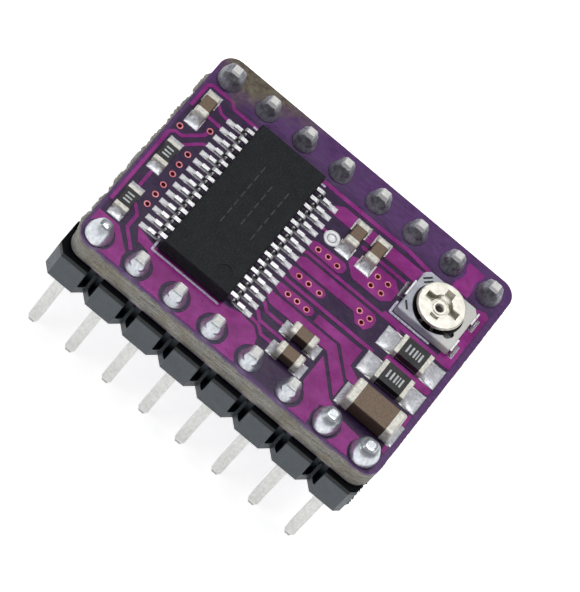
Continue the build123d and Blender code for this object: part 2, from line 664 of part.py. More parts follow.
TRIMMER_AXIS = Axis((*TRIMMER, 0), (0, 0, 1))
TRIMMER_SECTION = Plane((*TRIMMER, 0), x_dir=(1, 0, 0), z_dir=(0, -1, 0))
TRIMMER_HALF = TRIMMER_BASE[0] / 2
STRIP_BOTTOM = SEATED + TERMINAL_THICKNESS
STRIP_TOP = STRIP_BOTTOM + TERMINAL_THICKNESS
STRIP_STEP = -TRIMMER_HALF + TERMINAL_FOOT
TERMINAL_OUTSIDE = TRIMMER_HALF + TERMINAL_THICKNESS


with BuildPart() as trimmer_wiper_terminal:
    with BuildSketch(TRIMMER_SECTION):
        draw_box((-TERMINAL_OUTSIDE, SEATED), (-TRIMMER_HALF, SEATED + TERMINAL_HEIGHT))
        draw_box((-TERMINAL_OUTSIDE, SEATED), (STRIP_STEP, STRIP_BOTTOM))
        draw_box((STRIP_STEP - TERMINAL_THICKNESS, SEATED), (STRIP_STEP, STRIP_TOP))
        draw_box((STRIP_STEP - TERMINAL_THICKNESS, STRIP_BOTTOM), (TERMINAL_STRIP_END, STRIP_TOP))
    extrude(amount=WIPER_TERMINAL_WIDTH / 2, both=True)
    with BuildSketch(Plane.XY.offset(STRIP_BOTTOM)):
        draw_circles([TRIMMER], EYELET_BARREL)
    extrude(amount=TERMINAL_THICKNESS, mode=Mode.SUBTRACT)
save(trimmer_wiper_terminal, "trimmer_wiper_terminal")

with BuildPart() as trimmer_track_terminals:
    for side in (-1, 1):
        with BuildSketch(TRIMMER_SECTION.offset(-side * TRACK_TERMINAL_Y)):
            draw_box((TRIMMER_HALF, SEATED), (TERMINAL_OUTSIDE, SEATED + TERMINAL_HEIGHT))
            draw_box((TRIMMER_HALF - TERMINAL_FOOT, SEATED), (TERMINAL_OUTSIDE, STRIP_BOTTOM))
            draw_box((TRACK_LUG_END, TRIMMER_FLOOR - TERMINAL_THICKNESS), (TERMINAL_OUTSIDE, TRIMMER_FLOOR))
        extrude(amount=TRACK_TERMINAL_WIDTH / 2, both=True)
save(trimmer_track_terminals, "trimmer_track_terminals")

with BuildPart() as trimmer_eyelet:
    with BuildSketch(TRIMMER_SECTION):
        with BuildLine():
            Polyline(
                (EYELET_BORE, SEATED + 0.02), (EYELET_FOOT, SEATED + 0.02), (EYELET_FOOT, STRIP_BOTTOM),
                (EYELET_BARREL, STRIP_BOTTOM), (EYELET_BARREL, EYELET_TOP - 0.12),
                (EYELET_FLANGE, EYELET_TOP - 0.12), (EYELET_FLANGE, EYELET_TOP - 0.05),
                (EYELET_FLANGE - 0.06, EYELET_TOP), (0.5, EYELET_TOP), (0.47, EYELET_TOP - 0.04),
                (0.42, EYELET_TOP - 0.04), (0.38, EYELET_TOP), (0.27, EYELET_TOP),
                (EYELET_BORE, EYELET_TOP - 0.08), close=True,
            )
        make_face()
    revolve(axis=TRIMMER_AXIS)
save(trimmer_eyelet, "trimmer_eyelet")

with BuildPart() as trimmer_track:
    with BuildSketch(Plane.XY.offset(TRIMMER_FLOOR)):
        draw_circles([TRIMMER], TRACK_OUTER)
        draw_circles([TRIMMER], TRACK_INNER, Mode.SUBTRACT)
        far_x = TRIMMER[0] + 2 * TRACK_OUTER
        half_gap = 1.5 * TRACK_OUTER
        gap = [TRIMMER, (far_x, TRIMMER[1] - half_gap), (far_x, TRIMMER[1] + half_gap)]
        Polygon(*gap, align=None, mode=Mode.SUBTRACT)
    extrude(amount=TRACK_THICKNESS)
save(trimmer_track, "trimmer_track")

with BuildPart() as trimmer_base:
    with BuildSketch(Plane.XY.offset(SEATED)):
        with Locations(TRIMMER):
            Rectangle(*TRIMMER_BASE)
    extrude(amount=TRIMMER_BASE_TOP - SEATED)
    uprights = trimmer_base.edges().filter_by(Axis.Z)
    chamfer(uprights.group_by(Axis.Y)[-1], TRIMMER_CHAMFER)
    fillet(uprights.group_by(Axis.Y)[0], TRIMMER_ROUND)
    fillet(trimmer_base.faces().sort_by(Axis.Z)[-1].edges().sort_by(Axis.Y)[0], TRIMMER_ROUND)
    with BuildSketch(Plane.XY.offset(TRIMMER_FLOOR)):
        draw_circles([TRIMMER], TRIMMER_RECESS)
        with Locations((TRIMMER[0] + TRIMMER_POCKET[0], TRIMMER[1] + TRIMMER_POCKET[1])):
            SlotOverall(*TRIMMER_POCKET_SIZE, rotation=TRIMMER_POCKET_TURN)
    extrude(amount=TRIMMER_BASE_TOP - TRIMMER_FLOOR, mode=Mode.SUBTRACT)
    with BuildSketch(Plane.XY.offset(SEATED)):
        draw_circles([TRIMMER], EYELET_FOOT + 0.06)
    extrude(amount=TERMINAL_THICKNESS, mode=Mode.SUBTRACT)
    with BuildSketch(Plane.XY.offset(SEATED)):
        draw_circles([TRIMMER], EYELET_BARREL)
    extrude(amount=TRIMMER_BASE_TOP - SEATED, mode=Mode.SUBTRACT)
    with BuildSketch(Plane.XY.offset(TRIMMER_BASE_TOP - TRIMMER_MARK_DEPTH)):
        for mark_x, mark_y, mark_turn in TRIMMER_MARKS:
            with Locations(Location((TRIMMER[0] + mark_x, TRIMMER[1] + mark_y), mark_turn)):
                Rectangle(*TRIMMER_MARK_SIZE)
    extrude(amount=TRIMMER_MARK_DEPTH, mode=Mode.SUBTRACT)
    add(trimmer_wiper_terminal.part, mode=Mode.SUBTRACT)
    add(trimmer_track_terminals.part, mode=Mode.SUBTRACT)
save(trimmer_base, "trimmer_base")

with BuildPart() as trimmer_rotor:
    with BuildSketch(TRIMMER_SECTION):
        draw_box((ROTOR_BORE, ROTOR_BOTTOM), (ROTOR_DRUM, ROTOR_BOTTOM + ROTOR_WEB))
        draw_box((ROTOR_DRUM - ROTOR_WALL, ROTOR_BOTTOM), (ROTOR_DRUM, ROTOR_TOP))
        draw_box((ROTOR_OPENING, ROTOR_TOP - ROTOR_PLATE), (ROTOR_RADIUS, ROTOR_TOP))
        draw_box((ROTOR_RADIUS - ROTOR_LIP, ROTOR_TOP - ROTOR_LIP_DROP), (ROTOR_RADIUS, ROTOR_TOP))
    revolve(axis=TRIMMER_AXIS)
    rims = trimmer_rotor.edges().filter_by(GeomType.CIRCLE)
    fillet(rims.group_by(Axis.Z)[-1].sort_by(SortBy.RADIUS)[-1], ROTOR_ROUND)
    with BuildSketch(Plane.XY.offset(ROTOR_TOP - ROTOR_PLATE)):
        with Locations(TRIMMER):
            Rectangle(2 * ROTOR_SLOT_REACH, ROTOR_SLOT_WIDTH)
            Rectangle(ROTOR_SLOT_WIDTH, 2 * ROTOR_SLOT_REACH)
    extrude(amount=ROTOR_PLATE, mode=Mode.SUBTRACT)
save(trimmer_rotor, "trimmer_rotor")

with BuildPart() as trimmer_wiper:
    ring_bottom = ROTOR_BOTTOM - WIPER_THICKNESS
    contact_bottom = TRIMMER_FLOOR + TRACK_THICKNESS + RUNNING_GAP
    with BuildSketch(Plane.XY.offset(ring_bottom)):
        draw_circles([TRIMMER], WIPER_RING)
        draw_circles([TRIMMER], ROTOR_BORE, Mode.SUBTRACT)
    extrude(amount=WIPER_THICKNESS)
    for turn in WIPER_TURNS:
        finger = Plane.XY.rotated((0, 0, turn))
        with BuildSketch(Plane((*TRIMMER, 0), x_dir=finger.x_dir, z_dir=-finger.y_dir)):
            with BuildLine():
                Polyline(
                    (WIPER_RING - 0.05, ring_bottom + WIPER_THICKNESS / 2),
                    (WIPER_RING + 0.05, ring_bottom + WIPER_THICKNESS / 2),
                    (WIPER_CONTACT - 0.08, contact_bottom + WIPER_THICKNESS / 2),
                    (WIPER_CONTACT + 0.08, contact_bottom + WIPER_THICKNESS / 2),
                )
            trace(line_width=WIPER_THICKNESS)
        extrude(amount=WIPER_FINGER / 2, both=True)
save(trimmer_wiper, "trimmer_wiper")

SOLDER_TOP = (TERMINAL_OUTSIDE, SEATED + TERMINAL_SOLDER_CLIMB)
SOLDER_TIP = (TERMINAL_OUTSIDE + TERMINAL_SOLDER_REACH, PAD_TOP)

with BuildPart() as trimmer_solder:
    for side, centre_y, width in (
        (-1, 0, WIPER_TERMINAL_WIDTH), (1, -TRACK_TERMINAL_Y, TRACK_TERMINAL_WIDTH),
        (1, TRACK_TERMINAL_Y, TRACK_TERMINAL_WIDTH),
    ):
        foot = Plane((TRIMMER[0], TRIMMER[1] + centre_y, 0), x_dir=(side, 0, 0), z_dir=(0, -side, 0))
        with BuildSketch(foot):
            with BuildLine():
                Polyline(
                    SOLDER_TOP, (TERMINAL_OUTSIDE, SEATED), (TRIMMER_HALF - TERMINAL_FOOT, SEATED),
                    (TRIMMER_HALF - TERMINAL_FOOT, PAD_TOP), SOLDER_TIP,
                )
                hollow_arc(SOLDER_TIP, SOLDER_TOP)
            make_face()
        extrude(amount=width / 2 - SOLDER_TOE, both=True)
save(trimmer_solder, "trimmer_solder")

# ---- resistors and capacitors -------------------------------------------------------------------


def component_plane(x, y, turn):
    """The plane of a component on the board, with its length along the plane's own X."""
    return Plane(Location((x, y, 0), (0, 0, turn)))


def slab(plane, length, width, bottom, height, rounding=0.0):
    """A block on a component's plane, with all its edges rounded alike."""
    with BuildPart() as block_part:
        with BuildSketch(plane.offset(bottom)):
            Rectangle(length, width)
        extrude(amount=height)
        if rounding:
            fillet(block_part.edges(), rounding)
    return block_part


def end_caps(plane, size, cap, rounding, inner):
    """Two metal caps that wrap the ends of a component's body."""
    length, width, height = size
    with BuildPart() as caps:
        with BuildSketch(plane.offset(SEATED)):
            Rectangle(length, width)
        extrude(amount=height)
        fillet(caps.edges(), rounding)
        with BuildSketch(plane.offset(SEATED)):
            Rectangle(length - 2 * cap, width)
        extrude(amount=height, mode=Mode.SUBTRACT)
        add(inner.part, mode=Mode.SUBTRACT)
    return caps


for resistor, (x, y, turn, length, width, height, cap, pad_end, pad_width) in RESISTORS.items():
    plane = component_plane(x, y, turn)
    substrate_height = height - OVERCOAT_THICKNESS - CAP_WALL
    film_bottom = SEATED + CAP_WALL + substrate_height
    substrate = slab(plane, length - 2 * CAP_WALL, width, SEATED + CAP_WALL, substrate_height)
    element = slab(plane, length - 2 * cap, width - 2 * FILM_INSET, film_bottom, FILM_THICKNESS)
    with BuildPart() as overcoat:
        with BuildSketch(plane.offset(SEATED + OVERCOAT_SKIRT)):
            Rectangle(length - 2 * cap, width + 2 * OVERCOAT_WALL)
        extrude(amount=film_bottom + OVERCOAT_THICKNESS - SEATED - OVERCOAT_SKIRT)
        fillet(overcoat.faces().sort_by(Axis.Z)[-1].edges(), OVERCOAT_ROUND)
        add(substrate.part, mode=Mode.SUBTRACT)
        add(element.part, mode=Mode.SUBTRACT)
    save(substrate, f"{resistor}_substrate")
    save(element, f"{resistor}_film")
    save(overcoat, f"{resistor}_overcoat")
    cap_size = (length, width + 2 * CAP_WALL, height - OVERCOAT_ROUND)
    save(end_caps(plane, cap_size, cap, RESISTOR_ROUND, substrate), f"{resistor}_terminals")

for capacitor, (x, y, turn, length, width, height, cap, pad_end, pad_width) in CAPACITORS.items():
    plane = component_plane(x, y, turn)
    body_size = (length - 2 * CAP_WALL, width - 2 * CAP_WALL)
    body_height = height - 2 * CAP_WALL
    ceramic = slab(plane, *body_size, SEATED + CAP_WALL, body_height, CERAMIC_ROUND)
    save(end_caps(plane, (length, width, height), cap, CAP_ROUND, ceramic), f"{capacitor}_terminals")
    if capacitor == "bulk_capacitor":
        with BuildPart() as plates:
            for index in range(PLATE_COUNT):
                level = SEATED + PLATE_INSET + index * (height - 2 * PLATE_INSET) / (PLATE_COUNT - 1)
                shift = PLATE_INSET if index % 2 else -PLATE_INSET
                with BuildSketch(plane.offset(level)):
                    with Locations((shift, 0)):
                        Rectangle(body_size[0] - 2 * PLATE_INSET, body_size[1] - 2 * PLATE_INSET)
                extrude(amount=PLATE_THICKNESS)
        save(plates, "bulk_capacitor_electrodes")
        with BuildPart() as ceramic_with_plates:
            add(ceramic.part)
            add(plates.part, mode=Mode.SUBTRACT)
        ceramic = ceramic_with_plates
    save(ceramic, f"{capacitor}_body")

with BuildPart() as component_solder:
    for x, y, turn, length, width, height, cap, pad_end, pad_width in CHIP_PARTS.values():
        plane = component_plane(x, y, turn)
        end = length / 2
        climb = SEATED + 0.6 * height
        toe = pad_end - SOLDER_TOE
        for side in (1, -1):
            with BuildSketch(Plane(plane.origin, x_dir=side * plane.x_dir, z_dir=-side * plane.y_dir)):
                with BuildLine():
                    Polyline(
                        (end, climb), (end, SEATED), (end - cap, SEATED),
                        (end - cap, PAD_TOP), (toe, PAD_TOP),
                    )
                    hollow_arc((toe, PAD_TOP), (end, climb))
                make_face()
            extrude(amount=min(pad_width, width) / 2 - SOLDER_TOE, both=True)
save(component_solder, "component_solder")
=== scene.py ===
"""A stepper driver module: materials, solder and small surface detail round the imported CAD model."""

import json
import math
import random

import bmesh
import bpy
from mathutils import Matrix, Vector, noise


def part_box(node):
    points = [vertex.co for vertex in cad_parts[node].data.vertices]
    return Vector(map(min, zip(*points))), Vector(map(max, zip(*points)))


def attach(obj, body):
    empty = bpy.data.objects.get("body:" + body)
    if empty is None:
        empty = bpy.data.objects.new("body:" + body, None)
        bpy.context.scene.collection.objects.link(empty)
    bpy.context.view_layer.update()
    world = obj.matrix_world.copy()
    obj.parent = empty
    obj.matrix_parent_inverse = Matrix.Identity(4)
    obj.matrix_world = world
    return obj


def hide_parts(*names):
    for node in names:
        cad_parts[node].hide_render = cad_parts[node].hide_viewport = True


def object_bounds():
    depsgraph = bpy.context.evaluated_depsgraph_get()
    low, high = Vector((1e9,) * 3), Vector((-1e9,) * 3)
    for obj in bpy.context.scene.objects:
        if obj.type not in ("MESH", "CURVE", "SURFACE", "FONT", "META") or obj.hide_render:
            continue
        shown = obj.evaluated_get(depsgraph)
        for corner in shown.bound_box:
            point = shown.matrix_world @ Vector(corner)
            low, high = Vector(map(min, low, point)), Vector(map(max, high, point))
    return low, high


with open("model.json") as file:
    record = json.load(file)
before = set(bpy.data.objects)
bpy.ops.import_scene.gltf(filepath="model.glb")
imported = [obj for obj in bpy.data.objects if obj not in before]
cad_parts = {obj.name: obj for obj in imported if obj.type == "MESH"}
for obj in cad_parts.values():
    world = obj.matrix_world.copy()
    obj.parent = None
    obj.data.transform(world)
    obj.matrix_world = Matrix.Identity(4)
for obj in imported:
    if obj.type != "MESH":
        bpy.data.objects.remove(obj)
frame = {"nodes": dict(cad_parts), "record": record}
CAD_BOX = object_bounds()
MM = 0.001

# ---- places read from the frame -----------------------------------------------------------------


def corners(node):
    """The lowest and highest corner of a CAD node."""
    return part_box(node)


PIN_COUNT = 8
PIN_WIDTH = 0.64 * MM
LEAD_COUNT = 14
LEAD_WIDTH = 0.23 * MM

BOARD_LOW, BOARD_HIGH = corners("board_laminate")
MASK_LOW, MASK_HIGH = corners("top_solder_mask")
CHIP_LOW, CHIP_HIGH = corners("driver_chip_body")
CHIP_CENTRE = (CHIP_LOW + CHIP_HIGH) / 2
PIN_LOW, PIN_HIGH = corners("front_header_pins")
PIN_ROWS = {name: (corners(f"{name}_header_pins")[0].y + corners(f"{name}_header_pins")[1].y) / 2
            for name in ("front", "rear")}
PIN_PITCH = (PIN_HIGH.x - PIN_LOW.x - PIN_WIDTH) / (PIN_COUNT - 1)
PIN_X = [PIN_LOW.x + PIN_WIDTH / 2 + i * PIN_PITCH for i in range(PIN_COUNT)]
HEADER_LOW, HEADER_HIGH = corners("front_header_body")
PAD_TOP = corners("top_copper")[1].z
HOLE_BOTTOM = corners("hole_plating")[0].z
LEADS_LOW, LEADS_HIGH = corners("driver_chip_leads")
TRIMMER_LOW, TRIMMER_HIGH = corners("trimmer_base")

# ---- node-graph helpers -------------------------------------------------------------------------


class Shader:
    """A node material under construction, with short calls for the nodes that repeat."""

    def __init__(self, name):
        self.material = bpy.data.materials.new(name)
        self.material.use_nodes = True
        self.tree = self.material.node_tree
        self.shader = self.tree.nodes["Principled BSDF"]
        self.place = self.node("ShaderNodeNewGeometry").outputs["Position"]

    def node(self, kind, **settings):
        """A new node with its settings."""
        made = self.tree.nodes.new(kind)
        for key, value in settings.items():
            setattr(made, key, value)
        return made

    def join(self, source, target):
        """Links an output to an input."""
        self.tree.links.new(source, target)

    def scaled(self, factors):
        """The position in millimetres, stretched by a factor along each axis."""
        made = self.node("ShaderNodeVectorMath", operation="MULTIPLY")
        self.join(self.place, made.inputs[0])
        made.inputs[1].default_value = [1000 * f for f in factors]
        return made.outputs[0]

    def noise(self, size, detail=3, roughness=0.55, stretch=(1, 1, 1)):
        """Noise whose features are about this many millimetres across."""
        made = self.node("ShaderNodeTexNoise")
        self.join(self.scaled(stretch), made.inputs["Vector"])
        made.inputs["Scale"].default_value = 1 / size
        made.inputs["Detail"].default_value = detail
        made.inputs["Roughness"].default_value = roughness
        return made.outputs["Fac"]

    def cells(self, size, stretch=(1, 1, 1)):
        """Distance to the nearest point of a scatter of cells."""
        made = self.node("ShaderNodeTexVoronoi")
        self.join(self.scaled(stretch), made.inputs["Vector"])
        made.inputs["Scale"].default_value = 1 / size
        return made.outputs["Distance"]

    def ramp(self, value, stops):
        """Colours, or greys given as one number, at positions from 0 to 1."""
        made = self.node("ShaderNodeValToRGB")
        elements = made.color_ramp.elements
        while len(elements) < len(stops):
            elements.new(0.5)
        for element, (position, colour) in zip(elements, stops):
            element.position = position
            element.color = (colour,) * 3 + (1,) if isinstance(colour, float) else (*colour, 1)
        self.join(value, made.inputs["Fac"])
        return made.outputs["Color"]

    def between(self, value, low, high):
        """0 below one value, 1 above another, and a straight line between."""
        made = self.node("ShaderNodeMapRange")
        self.join(value, made.inputs["Value"])
        made.inputs["From Min"].default_value = low
        made.inputs["From Max"].default_value = high
        return made.outputs["Result"]

    def axis(self, name):
        """One coordinate of the position, in metres."""
        made = self.node("ShaderNodeSeparateXYZ")
        self.join(self.place, made.inputs[0])
        return made.outputs[name]

    def away(self, name, centre):
        """The distance along one axis from a plane, in metres."""
        return self.math(self.math(self.axis(name), centre, "SUBTRACT"), 0, "ABSOLUTE")

    def band(self, value, limits, base=0.0):
        """0 at one place and 1 at the next, both in millimetres from a base in metres."""
        return self.between(value, base + limits[0] * MM, base + limits[1] * MM)

    def math(self, a, b, operation="ADD"):
        """Two values, each a socket or a number, put through a math operation."""
        made = self.node("ShaderNodeMath", operation=operation)
        for index, value in enumerate((a, b)):
            if isinstance(value, (int, float)):
                made.inputs[index].default_value = value
            else:
                self.join(value, made.inputs[index])
        return made.outputs[0]

    def mix(self, factor, a, b):
        """The first colour where the factor is 0, and the second where it is 1."""
        made = self.node("ShaderNodeMix", data_type="RGBA")
        for socket, value in ((made.inputs[0], factor), (made.inputs[6], a), (made.inputs[7], b)):
            if isinstance(value, tuple):
                socket.default_value = (*value, 1)
            elif isinstance(value, (int, float)):
                socket.default_value = value
            else:
                self.join(value, socket)
        return made.outputs[2]

    def bump(self, height, depth):
        """Surface relief of a depth in millimetres."""
        made = self.node("ShaderNodeBump")
        made.inputs["Distance"].default_value = depth * MM
        self.join(height, made.inputs["Height"])
        return made.outputs["Normal"]

    def set(self, **values):
        """Sets or joins the shader's sockets, named with underscores in place of spaces."""
        for key, value in values.items():
            socket = self.shader.inputs[key.replace("_", " ")]
            if isinstance(value, tuple):
                socket.default_value = (*value, 1)
            elif isinstance(value, (int, float)):
                socket.default_value = value
            else:
                self.join(value, socket)
        return self.material


def linear(red, green, blue):
    """A colour given in 0 to 255 display values, as the shader's linear values."""
    def channel(value):
        value /= 255
        return value / 12.92 if value <= 0.04045 else ((value + 0.055) / 1.055) ** 2.4
    return channel(red), channel(green), channel(blue)


# ---- materials ----------------------------------------------------------------------------------

# Bands of a material, in millimetres from a named plane: nothing at the first value, full at the second.
REAR_EDGE_BAND = (4.8, 6.2)
FRONT_EDGE_BAND = (-6.95, -7.2)
SIDE_EDGE_BAND = (9.62, 9.8)
SCORCH_BAND = (6.2, 7.6)
RUN_OVER_BAND = (-0.6, 0)
HEADER_SHADE_BAND = (-0.42, -0.3)
LEAD_FOOT_BAND = (0.16, 0.22)
LEAD_SHOULDER_BAND = (-0.04, -0.1)
CUT_END_BAND = (0.3, 0.22)
FRONT_SHADE_SIDE_BAND = (-0.28, -0.34)
FRONT_SHADE_HEIGHT_BAND = (0.3, 0.75)
RECESS_SHADE_BAND = (-0.02, -0.035)
BASE_RIM_BAND = (-0.03, -0.04)
BASE_CREAM_BAND = (0.5, 1.2)

# The scorch on the mask: its middle along the rear edge, how fast it narrows forwards, and its raggedness.
SCORCH_X = -7.9 * MM
SCORCH_LEAN = 0.5
SCORCH_RAGGED = 2.0 * MM

# Mask over bare laminate is this thick, and mask over copper comes this close to the highest mask.
MASK_THICKNESS = 0.026 * MM
MASK_SLACK = 0.003 * MM


def purple_mask():
    """Purple solder mask: magenta over copper, dark over bare laminate, violet in bands along the edges, and
    scorched near one corner."""
    s = Shader("purple_mask")
    over_copper = s.between(s.axis("Z"), MASK_LOW.z + MASK_THICKNESS, MASK_HIGH.z - MASK_SLACK)
    blotch = s.noise(2.2, 4)
    copper = s.ramp(blotch, [(0.3, linear(134, 22, 118)), (0.7, linear(164, 56, 148))])
    deep = s.ramp(s.noise(0.7, 5, 0.65), [(0.42, 0.0), (0.66, 0.55)])
    copper = s.mix(deep, copper, linear(116, 10, 100))
    weave = s.noise(0.5, 2, 0.5, (1, 3.5, 1))
    laminate = s.mix(weave, linear(40, 24, 52), linear(64, 40, 80))
    edges = s.band(s.axis("Y"), REAR_EDGE_BAND)
    edges = s.math(edges, s.band(s.axis("Y"), FRONT_EDGE_BAND), "MAXIMUM")
    edges = s.math(edges, s.band(s.away("X", 0), SIDE_EDGE_BAND), "MAXIMUM")
    laminate = s.mix(edges, laminate, s.mix(weave, linear(72, 40, 88), linear(106, 68, 126)))
    colour = s.mix(over_copper, laminate, copper)
    corner = s.math(s.axis("Y"), s.math(s.away("X", SCORCH_X), -SCORCH_LEAN, "MULTIPLY"))
    corner = s.math(corner, s.math(s.noise(0.9, 5, 0.65), SCORCH_RAGGED, "MULTIPLY"))
    scorch = s.band(corner, SCORCH_BAND)
    mottle = s.ramp(s.noise(0.3, 5, 0.7), [(0.3, linear(70, 62, 50)), (0.7, linear(134, 128, 100))])
    colour = s.mix(s.math(scorch, 0.88, "MULTIPLY"), colour, mottle)
    speck = s.ramp(s.cells(0.45), [(0.0, 1.0), (0.07, 0.0)])
    colour = s.mix(s.math(speck, 0.3, "MULTIPLY"), colour, linear(190, 160, 200))
    relief = s.bump(s.noise(0.35, 3), 0.006)
    rough = s.ramp(s.noise(0.9, 4), [(0.3, 0.24), (0.75, 0.36)])
    return s.set(Base_Color=colour, Roughness=rough, Normal=relief, IOR=1.45, Specular_IOR_Level=0.4)


def laminate_edge():
    """Cut edge of the glass-fibre board: grey layers, fibre ends, and purple run-over at the top."""
    s = Shader("laminate_edge")
    layers = s.noise(0.34, 4, 0.6, (0.35, 0.35, 3.2))
    fibres = s.noise(0.1, 3, 0.7, (1, 1, 1.6))
    base = s.ramp(layers, [
        (0.28, linear(84, 80, 74)), (0.5, linear(126, 123, 116)), (0.74, linear(166, 163, 154)),
    ])
    base = s.mix(s.ramp(fibres, [(0.45, 0.0), (0.7, 0.6)]), base, linear(186, 184, 176))
    crumbs = s.ramp(s.cells(0.3, (1, 1, 1.4)), [(0.0, 0.9), (0.2, 0.0)])
    base = s.mix(s.math(crumbs, 0.5, "MULTIPLY"), base, linear(94, 88, 62))
    stain = s.ramp(s.noise(1.6, 3), [(0.5, 0.0), (0.75, 0.5)])
    base = s.mix(stain, base, linear(118, 106, 76))
    height = s.band(s.axis("Z"), RUN_OVER_BAND, BOARD_HIGH.z)
    patch = s.ramp(s.math(height, s.noise(0.7, 3), "MULTIPLY"), [(0.28, 0.0), (0.5, 0.8)])
    base = s.mix(patch, base, linear(96, 76, 116))
    relief = s.bump(s.noise(0.16, 4, 0.65, (1, 1, 1.8)), 0.06)
    return s.set(Base_Color=base, Roughness=0.82, Normal=relief, Specular_IOR_Level=0.3)


def fibre():
    """Pale frayed glass fibre."""
    s = Shader("fibre")
    strands = s.noise(0.12, 3, 0.6, (1, 3, 1))
    base = s.ramp(strands, [(0.35, linear(118, 114, 106)), (0.62, linear(206, 203, 196))])
    relief = s.bump(s.noise(0.06, 3), 0.02)
    return s.set(Base_Color=base, Roughness=0.75, Normal=relief, Transmission_Weight=0.15)


def header_plastic():
    """Dark moulded plastic with a soft gloss, and painted shade of the board along its top edge, with less
    sheen there.
    """
    s = Shader("header_plastic")
    base = s.mix(s.noise(0.8, 4), linear(12, 19, 24), linear(22, 31, 38))
    # Painted shade: a band along the top is darkened to near black and its sheen lowered, where the board's
    # shadow falls.
    top = s.band(s.axis("Z"), HEADER_SHADE_BAND, HEADER_HIGH.z)
    base = s.mix(top, base, linear(4, 4, 6))
    sheen = s.mix(top, (0.5, 0.5, 0.5), (0.1, 0.1, 0.1))
    grain = s.bump(s.noise(0.06, 3, 0.7), 0.022)
    rough = s.ramp(s.noise(0.6, 3), [(0.3, 0.3), (0.7, 0.4)])
    return s.set(
        Base_Color=base, Roughness=rough, Normal=grain, IOR=1.52, Specular_IOR_Level=sheen,
        Specular_Tint=(0.74, 0.88, 1.0),
    )


def bright_metal(name, dark, light, rough, depth, grain=0.3, metallic=1.0):
    """Tinned or plated metal with soft streaks and a faint relief."""
    s = Shader(name)
    streak = s.noise(grain, 4, 0.6)
    base = s.ramp(streak, [(0.32, linear(*dark)), (0.68, linear(*light))])
    shine = s.ramp(s.noise(grain * 1.7, 3, 0.5), [(0.3, rough - 0.07), (0.7, rough + 0.09)])
    relief = s.bump(s.noise(grain * 0.8, 3, 0.5), depth)
    return s.set(Base_Color=base, Roughness=shine, Normal=relief, Metallic=metallic)


def lead_metal():
    """Tinned chip leads, bright on the foot and the shoulder, with painted shade down the bend between them.
    """
    s = Shader("tinned_lead")
    streak = s.noise(0.2, 4, 0.6, (1.5, 3, 1))
    base = s.ramp(streak, [(0.32, linear(216, 216, 218)), (0.68, linear(250, 250, 250))])
    above_foot = s.band(s.axis("Z"), LEAD_FOOT_BAND, LEADS_LOW.z)
    under_shoulder = s.band(s.axis("Z"), LEAD_SHOULDER_BAND, LEADS_HIGH.z)
    bend = s.math(above_foot, under_shoulder, "MULTIPLY")
    # Painted shade: the bend between the foot and the shoulder is darkened, as it lies in shadow.
    base = s.mix(s.math(bend, 0.85, "MULTIPLY"), base, linear(58, 58, 64))
    return s.set(Base_Color=base, Roughness=0.36, Normal=s.bump(s.noise(0.16, 3), 0.008), Metallic=0.8)


def pin_metal():
    """Tinned square pins, even and pale, with duller cut ends."""
    s = Shader("pin_metal")
    streak = s.noise(0.16, 5, 0.7, (1, 1, 0.5))
    base = s.ramp(streak, [(0.3, linear(208, 208, 205)), (0.7, linear(238, 238, 235))])
    cut = s.band(s.axis("Z"), CUT_END_BAND, PIN_LOW.z)
    base = s.mix(s.math(cut, 0.8, "MULTIPLY"), base, linear(150, 150, 148))
    relief = s.bump(s.noise(0.1, 3, 0.6), 0.006)
    return s.set(Base_Color=base, Roughness=0.6, Normal=relief, Metallic=0.25)


def front_shade_patch(s):
    """Painted shade on the rear joints: high on the side that faces the front, away from the light."""
    patch = s.band(s.axis("Y"), FRONT_SHADE_SIDE_BAND, PIN_ROWS["rear"])
    patch = s.math(patch, s.band(s.axis("Z"), FRONT_SHADE_HEIGHT_BAND, PAD_TOP), "MULTIPLY")
    return s.math(patch, s.ramp(s.noise(0.4, 3), [(0.3, 0.6), (0.6, 1.0)]), "MULTIPLY")


def hand_solder(name, dark, light, rough, metallic, front_shade=0.0):
    """Hand-made solder: streaks that run down the cone, small pits, a wavy skin, and painted shade on the
    front side if any.
    """
    s = Shader(name)
    streak = s.noise(0.16, 4, 0.65, (1, 1, 0.3))
    patch = s.noise(0.7, 3)
    base = s.ramp(streak, [(0.3, linear(*dark)), (0.7, linear(*light))])
    base = s.mix(s.ramp(patch, [(0.4, 0.0), (0.7, 0.35)]), base, linear(*dark))
    pits = s.ramp(s.cells(0.16), [(0.0, 1.0), (0.12, 0.0)])
    base = s.mix(s.math(pits, 0.25, "MULTIPLY"), base, linear(60, 60, 62))
    if front_shade:
        # Painted shade: the joint's side that faces the front is darkened, away from the light.
        base = s.mix(s.math(front_shade_patch(s), front_shade, "MULTIPLY"), base, linear(34, 32, 34))
    shine = s.ramp(s.noise(0.3, 3), [(0.3, rough - 0.06), (0.7, rough + 0.08)])
    relief = s.bump(s.noise(0.35, 2, 0.5, (1, 1, 0.5)), 0.01)
    return s.set(Base_Color=base, Roughness=shine, Normal=relief, Metallic=metallic)


def moulding():
    """Black epoxy of the chip, with a fine matt grain."""
    s = Shader("moulding")
    base = s.mix(s.noise(1.6, 4), linear(16, 18, 21), linear(27, 30, 34))
    speck = s.ramp(s.noise(0.07, 2, 0.7), [(0.55, 0.0), (0.68, 0.7)])
    base = s.mix(speck, base, linear(58, 62, 68))
    grain = s.bump(s.noise(0.06, 3, 0.65), 0.018)
    rough = s.ramp(s.noise(0.5, 3), [(0.3, 0.54), (0.7, 0.66)])
    return s.set(Base_Color=base, Roughness=rough, Normal=grain, IOR=1.4, Specular_IOR_Level=0.35)


